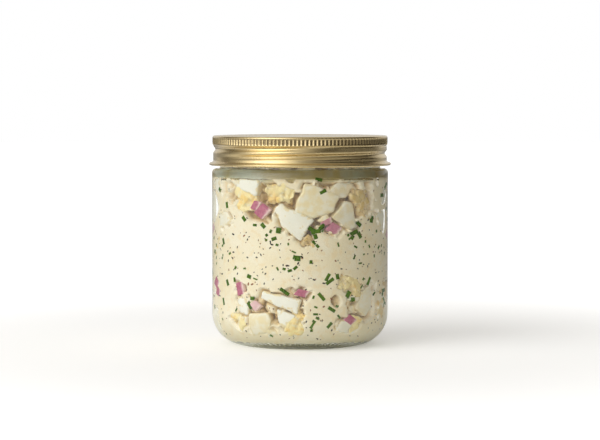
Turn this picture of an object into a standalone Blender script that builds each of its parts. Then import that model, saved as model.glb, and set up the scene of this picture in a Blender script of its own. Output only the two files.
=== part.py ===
"""Egg salad in a clear glass jar, closed by a gold screw lid. A Blender 4.5 script.

The origin is the middle of the jar's foot and +Z runs up the jar. Lengths are in metres.
Azimuth is measured round +Z from the jar's front, which faces -Y, towards +X.
"""

import math
import random

import bmesh
import bpy
from mathutils import Matrix, Vector, noise

MM = 0.001
GAP = 0.35 * MM

# The jar's glass
JAR_COLUMNS = 48
BODY_RADIUS = 44.5 * MM
WALL = 2.8 * MM
FLOOR_TOP = 5.0 * MM
HEEL_RADIUS = 15.5 * MM
FOOT_RING_WIDTH = 2.5 * MM
PUSH_UP = 1.2 * MM
INNER_HEEL_RADIUS = 12.0 * MM
INNER_SHOULDER_BOTTOM = 83.0 * MM
INNER_SHOULDER_TOP = 88.6 * MM
SHOULDER_TOP = 88.8 * MM
SHOULDER_CORNER = 2.0 * MM
NECK_RADIUS = 40.4 * MM
NECK_WALL = 2.8 * MM
NECK_FILLET = 0.8 * MM
RIM_TOP = 104.0 * MM
RIM_ROUND = 0.8 * MM

# The lid's sheet metal
LID_COLUMNS = 52
LID_TOP = 105.3 * MM
LID_SHEET = 0.6 * MM
LID_PANEL_RADIUS = 39.5 * MM
LID_PANEL_DROP = 0.3 * MM
LID_EDGE_ROUND = 0.9 * MM
BAND_RADIUS = 43.8 * MM
KNURL_COUNT = 140
KNURL_CREST_RADIUS = 44.25 * MM
KNURL_VALLEY_RADIUS = 43.95 * MM
KNURL_TOP = 104.3 * MM
KNURL_BOTTOM = 100.9 * MM
SKIRT_RADIUS = 43.9 * MM
SKIRT_INNER_RADIUS = 42.2 * MM
SKIRT_BOTTOM = 92.8 * MM
SKIRT_ROWS = 8
CURL_RADIUS = 0.75 * MM
CURL_REACH = 46.0 * MM
CURL_MIDDLE = 91.1 * MM

# The thread is one groove pressed into the skirt, rising as it runs round to the right
THREAD_DEPTH = 1.2 * MM
THREAD_HALF_WIDTH = 1.5 * MM
THREAD_PITCH = 4.0 * MM
THREAD_HEIGHT_AT_RIGHT = 96.5 * MM
THREAD_START = -170.0
THREAD_END = 300.0
THREAD_FADE = 45.0

# The salad: a core of dressing, and the pieces that press against the glass
SALAD_TOP = 100.2 * MM
SALAD_DOME = 1.3 * MM
FLOOR_LIFT = 0.6 * MM
CORE_COLUMNS = 44
CORE_ROWS = 13
CORE_INSET = 0.9 * MM
LUMP_DEPTH = 2.2 * MM
LUMP_SIZE = 8.0 * MM
CHIVE_LENGTH = 4.2 * MM
CHIVE_RADIUS = 0.9 * MM
CHIVE_COUNT = 44
SEED = 11

# What shows at the front, as (azimuth in degrees, height, width, tallness, turn in degrees),
# lengths in millimetres. The kinds go on round the jar by rule.
FRONT_WHITES = (
    (-40, 81, 12, 10, 10),
    (12, 75, 19, 13, 22),
    (-5, 65, 17, 14, 30),
    (35, 67, 14, 13, -40),
    (32, 80, 14, 9, 8),
    (-43, 23, 9, 12, -8),
    (-14, 25, 19, 8, 8),
    (-12, 18, 10, 10, 40),
    (50, 24, 12, 15, 14),
    (-29, 14, 12, 12, 20),
)
FRONT_YOLKS = (
    (-42, 73, 12, 10, 8),
    (-16, 80, 14, 9, 0),
    (48, 73, 14, 13, 10),
    (33, 31, 14, 11, 20),
    (-47, 13, 8, 8, 0),
    (0, 13, 9, 11, 10),
    (4, 52, 8, 7, 0),
)
FRONT_ONIONS = (
    (-25, 69, 6, 7, 38),
    (22, 60, 7, 6, 24),
    (16, 64, 6, 6, 40),
    (-43, 31, 5, 7, 10),
    (2, 30, 6, 4, 14),
    (36, 15, 6, 5, 40),
)
FRONT_SPREAD = 62.0
RULED_ROWS = (12, 25, 38, 51, 64, 76)
RULED_STEP = 28.0


def clear_scene():
    """Removes every object, so that the script can be run again."""
    for obj in list(bpy.data.objects):
        bpy.data.objects.remove(obj, do_unlink=True)


def collection(name):
    """A new collection, linked to the scene."""
    made = bpy.data.collections.new(name)
    bpy.context.scene.collection.children.link(made)
    return made


def material(name, colour, roughness, metallic=0.0):
    """A plain Principled material."""
    made = bpy.data.materials.new(name)
    made.use_nodes = True
    shader = made.node_tree.nodes["Principled BSDF"]
    shader.inputs["Base Color"].default_value = (*colour, 1.0)
    shader.inputs["Roughness"].default_value = roughness
    shader.inputs["Metallic"].default_value = metallic
    return made


def arc(centre, radius, start, end, steps):
    """Points of an arc in the (radius, height) plane, its angles in degrees from the radius axis."""
    angles = [start + (end - start) * k / steps for k in range(steps + 1)]
    return [
        (
            centre[0] + radius * math.cos(math.radians(a)),
            centre[1] + radius * math.sin(math.radians(a)),
        )
        for a in angles
    ]


def smooth(share):
    """A share from 0 to 1, eased at both ends."""
    share = min(1.0, max(0.0, share))
    return share * share * (3.0 - 2.0 * share)


def turned(name, profile, columns, owner):
    """A solid turned round the Z axis from (radius, height) points, which run down its outer side."""
    mesh = bpy.data.meshes.new(name)
    edges = [(k, k + 1) for k in range(len(profile) - 1)]
    mesh.from_pydata([(r, 0.0, z) for r, z in profile], edges, [])
    obj = bpy.data.objects.new(name, mesh)
    owner.objects.link(obj)
    screw = obj.modifiers.new("Turn", "SCREW")
    screw.axis = "Z"
    screw.angle = math.tau
    screw.steps = columns
    screw.render_steps = columns
    screw.use_merge_vertices = True
    screw.merge_threshold = 0.00001
    return obj


def make_real(obj):
    """Replaces an object's mesh by what its modifiers make of it."""
    bpy.context.view_layer.update()
    graph = bpy.context.evaluated_depsgraph_get()
    mesh = bpy.data.meshes.new_from_object(obj.evaluated_get(graph))
    obj.modifiers.clear()
    obj.data = mesh


def shade(obj, angle=35.0):
    """Smooth shading with sharp edges kept."""
    obj.data.shade_smooth()
    obj.data.set_sharp_from_angle(angle=math.radians(angle))


# The jar


def inner_radius(height):
    """The radius of the glass's inner face at a height above its floor."""
    wall = BODY_RADIUS - WALL
    neck = NECK_RADIUS - NECK_WALL
    if height < FLOOR_TOP + INNER_HEEL_RADIUS:
        drop = FLOOR_TOP + INNER_HEEL_RADIUS - height
        return wall - INNER_HEEL_RADIUS + math.sqrt(max(0.0, INNER_HEEL_RADIUS**2 - drop**2))
    share = (height - INNER_SHOULDER_BOTTOM) / (INNER_SHOULDER_TOP - INNER_SHOULDER_BOTTOM)
    return wall + (neck - wall) * smooth(share)


def jar_profile():
    """The jar's section: along its floor, up the inside, over the rim and down the outside."""
    wall = BODY_RADIUS - WALL
    heel = INNER_HEEL_RADIUS
    inside = [(0.0, FLOOR_TOP)]
    inside += arc((wall - heel, FLOOR_TOP + heel), heel, -90, 0, 5)
    shoulder = INNER_SHOULDER_TOP - INNER_SHOULDER_BOTTOM
    for k in range(5):
        height = INNER_SHOULDER_BOTTOM + shoulder * k / 4
        inside.append((inner_radius(height), height))
    neck = NECK_RADIUS - NECK_WALL
    rim = arc((neck + RIM_ROUND, RIM_TOP - RIM_ROUND), RIM_ROUND, 180, 90, 2)
    rim += arc((NECK_RADIUS - RIM_ROUND, RIM_TOP - RIM_ROUND), RIM_ROUND, 90, 0, 2)
    outside = arc(
        (NECK_RADIUS + NECK_FILLET, SHOULDER_TOP + NECK_FILLET), NECK_FILLET, 180, 270, 2
    )
    corner = SHOULDER_CORNER
    outside += arc((BODY_RADIUS - corner, SHOULDER_TOP - corner), corner, 90, 0, 3)
    outside += arc((BODY_RADIUS - HEEL_RADIUS, HEEL_RADIUS), HEEL_RADIUS, 0, -90, 7)
    foot = BODY_RADIUS - HEEL_RADIUS - FOOT_RING_WIDTH
    outside += [(foot, 0.0), (foot * 0.9, PUSH_UP * 0.7), (0.0, PUSH_UP)]
    return inside + rim + outside


def make_jar(owner):
    """The glass jar, one solid."""
    jar = turned("jar", jar_profile(), JAR_COLUMNS, owner)
    make_real(jar)
    jar.data.materials.append(material("clear_glass", (0.86, 0.90, 0.86), 0.05))
    shade(jar)
    return jar


# The lid


def lid_profile():
    """The lid's section: out along its panel, down the skirt, round the curl and up the inside."""
    edge = LID_EDGE_ROUND
    panel = [(0.0, LID_TOP - LID_PANEL_DROP), (LID_PANEL_RADIUS, LID_TOP - LID_PANEL_DROP)]
    panel.append((LID_PANEL_RADIUS + 1.2 * MM, LID_TOP))
    panel += arc((BAND_RADIUS - edge, LID_TOP - edge), edge, 90, 0, 3)
    skirt = [(BAND_RADIUS, KNURL_BOTTOM)]
    top = KNURL_BOTTOM - 0.6 * MM
    for k in range(SKIRT_ROWS + 1):
        skirt.append((SKIRT_RADIUS, top + (SKIRT_BOTTOM - top) * k / SKIRT_ROWS))
    curl_middle = (CURL_REACH - CURL_RADIUS, CURL_MIDDLE)
    curl = arc(curl_middle, CURL_RADIUS, 100, -160, 6)
    inner_top = LID_TOP - LID_PANEL_DROP - LID_SHEET
    inside = [
        (SKIRT_INNER_RADIUS + 1.0 * MM, CURL_MIDDLE),
        (SKIRT_INNER_RADIUS, SKIRT_BOTTOM + 1.0 * MM),
        (SKIRT_INNER_RADIUS, inner_top - 0.8 * MM),
        (SKIRT_INNER_RADIUS - 0.8 * MM, inner_top),
        (0.0, inner_top),
    ]
    return panel + skirt + curl + inside


def thread_dent(azimuth, height):
    """How deep the thread's groove is at a place on the skirt, its azimuth from -180 to 180 degrees."""
    dent = 0.0
    for turn in (-360.0, 0.0, 360.0):
        along = azimuth - 90.0 + turn
        if not THREAD_START <= along <= THREAD_END:
            continue
        middle = THREAD_HEIGHT_AT_RIGHT + THREAD_PITCH * along / 360.0
        across = abs(height - middle) / THREAD_HALF_WIDTH
        if across >= 1.0:
            continue
        fade = smooth((along - THREAD_START) / THREAD_FADE) * smooth((THREAD_END - along) / THREAD_FADE)
        dent = max(dent, THREAD_DEPTH * fade * (0.5 + 0.5 * math.cos(math.pi * across)))
    return dent


def press_thread(mesh):
    """Moves the skirt's outer points inwards along the thread."""
    for vertex in mesh.vertices:
        x, y, z = vertex.co
        radius = math.hypot(x, y)
        if abs(radius - SKIRT_RADIUS) > 0.05 * MM or not SKIRT_BOTTOM - MM < z < KNURL_BOTTOM:
            continue
        azimuth = math.degrees(math.atan2(x, -y))
        scale = (radius - thread_dent(azimuth, z)) / radius
        vertex.co.x = x * scale
        vertex.co.y = y * scale


def knurl_ring(owner):
    """The knurled band as a ring with a toothed outline, to be joined to the lid."""
    teeth = KNURL_COUNT * 2
    outer = [
        (KNURL_CREST_RADIUS if k % 2 == 0 else KNURL_VALLEY_RADIUS, math.tau * k / teeth)
        for k in range(teeth)
    ]
    inner_radius_of_ring = BAND_RADIUS - 0.5 * MM
    inner = [(inner_radius_of_ring, math.tau * k / LID_COLUMNS) for k in range(LID_COLUMNS)]
    curve = bpy.data.curves.new("knurl_ring", "CURVE")
    curve.dimensions = "2D"
    curve.fill_mode = "BOTH"
    curve.extrude = (KNURL_TOP - KNURL_BOTTOM) / 2
    for ring in (outer, inner):
        spline = curve.splines.new("POLY")
        spline.points.add(len(ring) - 1)
        for point, (radius, angle) in zip(spline.points, ring):
            point.co = (radius * math.cos(angle), radius * math.sin(angle), 0.0, 1.0)
        spline.use_cyclic_u = True
    outline = bpy.data.objects.new("knurl_outline", curve)
    owner.objects.link(outline)
    outline.location.z = (KNURL_TOP + KNURL_BOTTOM) / 2
    bpy.context.view_layer.update()
    graph = bpy.context.evaluated_depsgraph_get()
    mesh = bpy.data.meshes.new_from_object(outline.evaluated_get(graph))
    shape = bmesh.new()
    shape.from_mesh(mesh)
    bmesh.ops.remove_doubles(shape, verts=shape.verts, dist=0.000001)
    bmesh.ops.recalc_face_normals(shape, faces=shape.faces)
    shape.to_mesh(mesh)
    shape.free()
    ring = bpy.data.objects.new("knurl_ring", mesh)
    owner.objects.link(ring)
    ring.matrix_world = outline.matrix_world.copy()
    bpy.data.objects.remove(outline, do_unlink=True)
    return ring


def make_lid(owner, helpers):
    """The screw lid with its knurled band, thread and curled edge, one solid."""
    lid = turned("lid", lid_profile(), LID_COLUMNS, owner)
    make_real(lid)
    press_thread(lid.data)
    ring = knurl_ring(helpers)
    join = lid.modifiers.new("Join", "BOOLEAN")
    join.operation = "UNION"
    join.object = ring
    make_real(lid)
    bpy.data.objects.remove(ring, do_unlink=True)
    lid.data.materials.append(material("gold_metal", (0.72, 0.60, 0.36), 0.35, 1.0))
    shade(lid)
    return lid


# The salad


def fill_radius(height):
    """How far out the salad may reach at a height, clear of the glass."""
    return inner_radius(max(height - GAP, FLOOR_TOP)) * math.cos(math.pi / JAR_COLUMNS) - GAP


def core_profile():
    """The core's section, from its domed top down the side to the jar's floor."""
    profile = [(0.0, SALAD_TOP)]
    top_radius = fill_radius(SALAD_TOP) - CORE_INSET
    for share in (0.45, 0.8, 1.0):
        profile.append((top_radius * share, SALAD_TOP - SALAD_DOME * share**2))
    top = SALAD_TOP - SALAD_DOME
    heel_middle = FLOOR_TOP + INNER_HEEL_RADIUS
    for k in range(1, CORE_ROWS):
        height = top + (heel_middle - top) * k / CORE_ROWS
        profile.append((fill_radius(height) - CORE_INSET, height))
    heel = INNER_HEEL_RADIUS - GAP
    side = fill_radius(heel_middle) - CORE_INSET
    profile += arc((side - heel, heel_middle), heel, 0, -90, 4)
    profile.append((0.0, FLOOR_TOP + GAP))
    return profile


def roughen_core(mesh):
    """Hollows the core's side and top here and there, as the dressing leaves the glass."""
    for vertex in mesh.vertices:
        radius = math.hypot(vertex.co.x, vertex.co.y)
        if radius < MM or vertex.co.z < FLOOR_TOP + MM:
            continue
        lump = LUMP_DEPTH * max(0.0, noise.noise(vertex.co / LUMP_SIZE) + 0.25)
        scale = (radius - lump) / radius
        vertex.co.x *= scale
        vertex.co.y *= scale


def cut_corner(shape, direction, distance):
    """Slices off what lies past a plane and closes the cut."""
    geometry = list(shape.verts) + list(shape.edges) + list(shape.faces)
    cut = bmesh.ops.bisect_plane(
        shape, geom=geometry, plane_co=direction * distance, plane_no=direction, clear_outer=True
    )
    rim = [item for item in cut["geom_cut"] if isinstance(item, bmesh.types.BMEdge)]
    if rim:
        bmesh.ops.contextual_create(shape, geom=rim)


def diced(size, cuts, slant, draw):
    """A knife-cut piece: a slanted block with a few corners sliced off."""
    shape = bmesh.new()
    bmesh.ops.create_cube(shape, size=1.0)
    for vertex in shape.verts:
        x, y, z = vertex.co
        vertex.co = Vector((x * size[0] + z * slant, y * size[1], z * size[2]))
    for _ in range(cuts):
        side = draw.choice((-1.0, 1.0))
        rise = draw.choice((-1.0, 1.0))
        direction = Vector((side * size[2], draw.uniform(-0.2, 0.2) * size[1], rise * size[0]))
        direction.normalize()
        reach = abs(direction.x) * size[0] / 2 + abs(direction.z) * size[2] / 2
        cut_corner(shape, direction, reach * draw.uniform(0.66, 0.8))
    return shape


def crumb(size, draw):
    """A lump of yolk: a rough ball with flattened sides."""
    shape = bmesh.new()
    bmesh.ops.create_icosphere(shape, subdivisions=2, radius=1.0)
    shift = Vector((draw.uniform(0, 50), draw.uniform(0, 50), draw.uniform(0, 50)))
    for vertex in shape.verts:
        swell = 0.5 + 0.09 * noise.noise(vertex.co * 1.7 + shift)
        vertex.co = Vector(tuple(vertex.co[k] * size[k] * swell for k in range(3)))
    return shape


def chive():
    """A short cut of chive."""
    shape = bmesh.new()
    bmesh.ops.create_cone(
        shape,
        cap_ends=True,
        segments=6,
        radius1=CHIVE_RADIUS,
        radius2=CHIVE_RADIUS,
        depth=CHIVE_LENGTH,
    )
    return shape


def press_to_glass(shape, azimuth, height, turn, tilt):
    """Turns a piece in its own plane, sets it at a place on the wall and slides it out to the glass."""
    facing = Matrix.Rotation(math.radians(azimuth), 3, "Z")
    lean = Matrix.Rotation(math.radians(tilt), 3, "X")
    spin = Matrix.Rotation(math.radians(turn), 3, "Y")
    outward = facing @ Vector((0.0, -1.0, 0.0))
    turned_points = [facing @ lean @ spin @ vertex.co for vertex in shape.verts]
    lowest = height + min(point.z for point in turned_points)
    height += max(0.0, FLOOR_TOP + GAP + FLOOR_LIFT - lowest)
    reach = BODY_RADIUS
    for _ in range(6):
        place = outward * reach + Vector((0.0, 0.0, height))
        over = max(
            math.hypot(p.x + place.x, p.y + place.y) - fill_radius(p.z + place.z)
            for p in turned_points
        )
        reach -= over + 0.02 * MM
    for vertex, point in zip(shape.verts, turned_points):
        vertex.co = point + outward * reach + Vector((0.0, 0.0, height))


def add_piece(name, shape, owner):
    """Makes an object of a bmesh."""
    bmesh.ops.recalc_face_normals(shape, faces=shape.faces)
    mesh = bpy.data.meshes.new(name)
    shape.to_mesh(mesh)
    shape.free()
    obj = bpy.data.objects.new(name, mesh)
    owner.objects.link(obj)
    return obj


def ruled_places(kind, draw):
    """Places of one kind of piece round the rest of the jar, row by row, with a drawn offset."""
    places = []
    for row, height in enumerate(RULED_ROWS):
        azimuth = FRONT_SPREAD + 12.0 + (row * 0.37 + kind * 0.31) % 1.0 * RULED_STEP
        count = 0
        while azimuth < 360.0 - FRONT_SPREAD - 8.0:
            if (count + row + kind) % 3 == 0:
                lift = draw.uniform(-3.0, 3.0)
                places.append((azimuth, height + lift))
            azimuth += RULED_STEP * draw.uniform(0.85, 1.1)
            count += 1
    return places


def scatter_pieces(owner):
    """Makes every piece of egg, onion and chive that shows through the glass."""
    draw = random.Random(SEED)
    whites = [(*row, 1) for row in FRONT_WHITES]
    for azimuth, height in ruled_places(0, draw):
        whites.append(
            (azimuth, height, draw.uniform(11, 17), draw.uniform(9, 14), draw.uniform(-45, 45), 1)
        )
    for azimuth, height, width, tall, turn, cuts in whites:
        size = (width * MM, 8.0 * MM, tall * MM)
        shape = diced(size, cuts, draw.uniform(-0.12, 0.12) * width * MM, draw)
        press_to_glass(shape, azimuth, height * MM, turn, draw.uniform(-7, 7))
        add_piece("white", shape, owner)
    yolks = list(FRONT_YOLKS)
    for azimuth, height in ruled_places(1, draw):
        yolks.append((azimuth, height, draw.uniform(9, 14), draw.uniform(8, 12), 0))
    for azimuth, height, width, tall, turn in yolks:
        shape = crumb((width * MM, 9.0 * MM, tall * MM), draw)
        press_to_glass(shape, azimuth, height * MM, turn, 0.0)
        add_piece("yolk", shape, owner)
    onions = list(FRONT_ONIONS)
    for azimuth, height in ruled_places(2, draw):
        onions.append((azimuth, height, draw.uniform(5, 7), draw.uniform(4, 6.5), draw.uniform(0, 90)))
    for azimuth, height, width, tall, turn in onions:
        shape = diced((width * MM, 3.4 * MM, tall * MM), 0, 0.15 * width * MM, draw)
        press_to_glass(shape, azimuth, height * MM, turn, draw.uniform(-5, 5))
        add_piece("onion", shape, owner)
    golden_angle = 180.0 * (3.0 - math.sqrt(5.0))
    low, high = 12.0, 80.0
    for k in range(CHIVE_COUNT):
        height = low + (high - low) * (k + 0.5) / CHIVE_COUNT
        shape = chive()
        press_to_glass(shape, k * golden_angle, height * MM, draw.uniform(0, 180), 0.0)
        add_piece("chive", shape, owner)


def drop_scraps(obj):
    """Keeps the largest of an object's loose bodies."""
    shape = bmesh.new()
    shape.from_mesh(obj.data)
    left = set(shape.verts)
    bodies = []
    while left:
        stack = [left.pop()]
        body = []
        while stack:
            vertex = stack.pop()
            body.append(vertex)
            for edge in vertex.link_edges:
                other = edge.other_vert(vertex)
                if other in left:
                    left.remove(other)
                    stack.append(other)
        bodies.append(body)
    bodies.sort(key=len)
    for body in bodies[:-1]:
        bmesh.ops.delete(shape, geom=body, context="VERTS")
    shape.to_mesh(obj.data)
    shape.free()


def make_salad(owner, helpers):
    """The salad as one solid: the core with the pieces fused on."""
    salad = turned("egg_salad", core_profile(), CORE_COLUMNS, owner)
    make_real(salad)
    roughen_core(salad.data)
    scatter_pieces(helpers)
    join = salad.modifiers.new("Fuse", "BOOLEAN")
    join.operation = "UNION"
    join.operand_type = "COLLECTION"
    join.collection = helpers
    make_real(salad)
    for piece in list(helpers.objects):
        bpy.data.objects.remove(piece, do_unlink=True)
    drop_scraps(salad)
    salad.data.materials.append(material("egg_salad", (0.90, 0.83, 0.66), 0.55))
    shade(salad, 25.0)
    return salad


def main():
    """Builds the jar, the lid and the salad."""
    clear_scene()
    owner = collection("jar_of_egg_salad")
    lid_helpers = collection("lid_helpers")
    salad_pieces = collection("salad_pieces")
    make_jar(owner)
    make_lid(owner, lid_helpers)
    make_salad(owner, salad_pieces)


main()
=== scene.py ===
"""Egg salad in a clear glass jar with a gold screw lid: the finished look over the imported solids.

Lengths are in metres. Azimuth is in degrees round +Z, from the jar's front at -Y towards +X.
The inner face of the glass is the reference for all the food. A piece of food is modelled flat,
with its pressed face on the plane y = 0, and is then wrapped onto that inner face.
"""

import logging
import math
import random
from collections.abc import Iterator, Sequence
from contextlib import contextmanager
from dataclasses import dataclass, field
from enum import Enum
from itertools import pairwise

import bmesh
import bpy
import numpy as np
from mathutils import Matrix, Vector, noise


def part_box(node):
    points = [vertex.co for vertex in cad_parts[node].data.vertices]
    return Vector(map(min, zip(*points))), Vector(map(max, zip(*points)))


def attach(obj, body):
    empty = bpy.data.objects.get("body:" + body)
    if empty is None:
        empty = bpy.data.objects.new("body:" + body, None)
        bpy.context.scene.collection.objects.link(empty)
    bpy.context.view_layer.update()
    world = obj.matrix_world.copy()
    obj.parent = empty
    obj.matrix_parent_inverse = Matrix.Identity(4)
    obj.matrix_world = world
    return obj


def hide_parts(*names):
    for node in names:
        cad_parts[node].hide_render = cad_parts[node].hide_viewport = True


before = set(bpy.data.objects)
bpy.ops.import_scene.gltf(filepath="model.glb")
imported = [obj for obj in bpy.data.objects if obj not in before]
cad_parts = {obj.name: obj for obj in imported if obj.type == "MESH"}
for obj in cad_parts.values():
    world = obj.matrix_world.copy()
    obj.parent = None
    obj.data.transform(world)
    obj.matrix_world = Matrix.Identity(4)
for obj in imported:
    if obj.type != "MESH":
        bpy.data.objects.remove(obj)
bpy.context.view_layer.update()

MM = 0.001
BODY = "root"
MERGE_DISTANCE = 0.01 * MM

Section = list[tuple[float, float]]
Colour = tuple[float, float, float]
Corners = tuple[tuple[float, float], ...]

log = logging.getLogger("egg_salad")


class Reach(Enum):
    """How far each kind of food reaches into the glass, so that no two lie flush there."""

    DRESSING = 0.12 * MM
    YOLK = 0.17 * MM
    WHITE = 0.20 * MM
    ONION = 0.24 * MM
    PEPPER = 0.27 * MM
    CHIVE = 0.32 * MM


# Modelling by hand


def only(obj: bpy.types.Object) -> None:
    """Leaves one object selected and active.

    Args:
        obj: The object to keep selected.
    """
    bpy.ops.object.select_all(action="DESELECT")
    obj.select_set(True)
    bpy.context.view_layer.objects.active = obj


@contextmanager
def editing(obj: bpy.types.Object) -> Iterator[bmesh.types.BMesh]:
    """Opens an object in edit mode with all of it selected, and leaves edit mode at the end.

    Args:
        obj: The mesh object to edit.
    """
    only(obj)
    bpy.ops.object.mode_set(mode="EDIT")
    bpy.ops.mesh.select_all(action="SELECT")
    yield bmesh.from_edit_mesh(obj.data)
    bpy.ops.object.mode_set(mode="OBJECT")


def apply_modifiers(obj: bpy.types.Object) -> None:
    """Applies an object's modifiers in their order.

    Args:
        obj: The object whose modifiers become its mesh.
    """
    only(obj)
    for modifier in list(obj.modifiers):
        bpy.ops.object.modifier_apply(modifier=modifier.name)


def join_all(objects: Sequence[bpy.types.Object], name: str) -> bpy.types.Object:
    """Joins objects into one.

    Args:
        objects: The objects to join; the first one keeps its place in the scene.
        name: The name of the joined object.

    Returns:
        The joined object.
    """
    only(objects[0])
    for obj in objects:
        obj.select_set(True)
    bpy.ops.object.join()
    joined = bpy.context.view_layer.objects.active
    joined.name = name
    joined.data.name = name
    return joined


def coordinates(mesh: bpy.types.Mesh) -> np.ndarray:
    """Reads a mesh's points.

    Args:
        mesh: The mesh to read.

    Returns:
        Its points, one row each.
    """
    flat = np.empty(len(mesh.vertices) * 3)
    mesh.vertices.foreach_get("co", flat)
    return flat.reshape(-1, 3)


def move_to(mesh: bpy.types.Mesh, points: np.ndarray) -> None:
    """Moves a mesh's points to new places.

    Args:
        mesh: The mesh to change.
        points: The new places, one row for each point.
    """
    mesh.vertices.foreach_set("co", np.ascontiguousarray(points, np.float64).ravel())
    mesh.update()


def mark(mesh: bpy.types.Mesh, name: str, values: np.ndarray) -> None:
    """Writes a number on each point of a mesh, for its material to read.

    Args:
        mesh: The mesh to mark.
        name: The attribute's name.
        values: One number for each point.
    """
    layer = mesh.attributes.new(name, "FLOAT", "POINT")
    layer.data.foreach_set("value", np.ascontiguousarray(values, np.float32))


def turned(name: str, section: Section, columns: int) -> bpy.types.Object:
    """Draws a section point by point and turns it round the Z axis.

    Args:
        name: The new object's name.
        section: (radius, height) points, which run down the outer side.
        columns: The number of columns round the axis.

    Returns:
        The turned object, its faces pointing outwards.
    """
    bpy.ops.object.select_all(action="DESELECT")
    bpy.ops.mesh.primitive_plane_add(size=MM)
    obj = bpy.context.object
    obj.name = name
    with editing(obj):
        bpy.ops.mesh.merge(type="CENTER")
        bpy.ops.transform.translate(value=(section[0][0], 0.0, section[0][1]))
        for (from_radius, from_height), (to_radius, to_height) in pairwise(section):
            step = (to_radius - from_radius, 0.0, to_height - from_height)
            bpy.ops.mesh.extrude_vertices_move(TRANSFORM_OT_translate={"value": step})
    turn = obj.modifiers.new("Turn", "SCREW")
    turn.angle = math.tau
    turn.steps = turn.render_steps = columns
    turn.use_merge_vertices = True
    turn.merge_threshold = MERGE_DISTANCE
    apply_modifiers(obj)
    with editing(obj):
        bpy.ops.mesh.remove_doubles(threshold=MERGE_DISTANCE)
        bpy.ops.mesh.normals_make_consistent(inside=False)
    return obj


def press(obj: bpy.types.Object, name: str, depth: float, share: np.ndarray) -> None:
    """Presses a form into an object's surface, against its normals.

    Args:
        obj: The object to press.
        name: The name of the form.
        depth: The form's full depth.
        share: For each point, the share of the full depth that it goes in.
    """
    group = obj.vertex_groups.new(name=name)
    for index in np.flatnonzero(share > 0.0):
        group.add([int(index)], float(share[index]), "REPLACE")
    form = obj.modifiers.new(name, "DISPLACE")
    form.direction = "NORMAL"
    form.mid_level = 0.0
    form.strength = -depth
    form.vertex_group = name
    apply_modifiers(obj)
    obj.vertex_groups.remove(obj.vertex_groups[name])


def smooth(obj: bpy.types.Object, degrees: float = 60.0) -> None:
    """Shades an object smooth, up to an angle.

    Args:
        obj: The object to shade.
        degrees: Edges sharper than this stay sharp.
    """
    only(obj)
    bpy.ops.object.shade_smooth_by_angle(angle=math.radians(degrees))


def ease(share: np.ndarray | float) -> np.ndarray:
    """Eases a share from 0 to 1 at both ends.

    Args:
        share: Any number or array of numbers.

    Returns:
        The eased share, held between 0 and 1.
    """
    held = np.clip(share, 0.0, 1.0)
    return held * held * (3.0 - 2.0 * held)


def arc(middle: tuple[float, float], radius: float, start: float, end: float, steps: int) -> Section:
    """Points of an arc in the (radius, height) plane.

    Args:
        middle: The arc's middle.
        radius: Its radius.
        start: The angle of its first point, in degrees from the radius axis.
        end: The angle of its last point.
        steps: The number of steps between them.

    Returns:
        The arc's points.
    """
    angles = np.radians(np.linspace(start, end, steps + 1))
    return [(middle[0] + radius * math.cos(a), middle[1] + radius * math.sin(a)) for a in angles]


def line(start: tuple[float, float], end: tuple[float, float], steps: int) -> Section:
    """Evenly spaced points of a straight run, without its first point.

    Args:
        start: The point before the run.
        end: The run's last point.
        steps: The number of points.

    Returns:
        The run's points.
    """
    shares = [k / steps for k in range(1, steps + 1)]
    return [(start[0] + (end[0] - start[0]) * t, start[1] + (end[1] - start[1]) * t) for t in shares]


def dress(
    obj: bpy.types.Object, material: bpy.types.Material, slot: str, *replaced: str
) -> bpy.types.Object:
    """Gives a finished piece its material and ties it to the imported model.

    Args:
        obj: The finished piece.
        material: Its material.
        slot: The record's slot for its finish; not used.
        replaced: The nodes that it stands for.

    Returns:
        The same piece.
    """
    obj.data.materials.clear()
    obj.data.materials.append(material)
    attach(obj, BODY)
    if replaced:
        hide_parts(*replaced)
    log.info("%s: %d faces", obj.name, len(obj.data.polygons))
    return obj


# Materials


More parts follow.
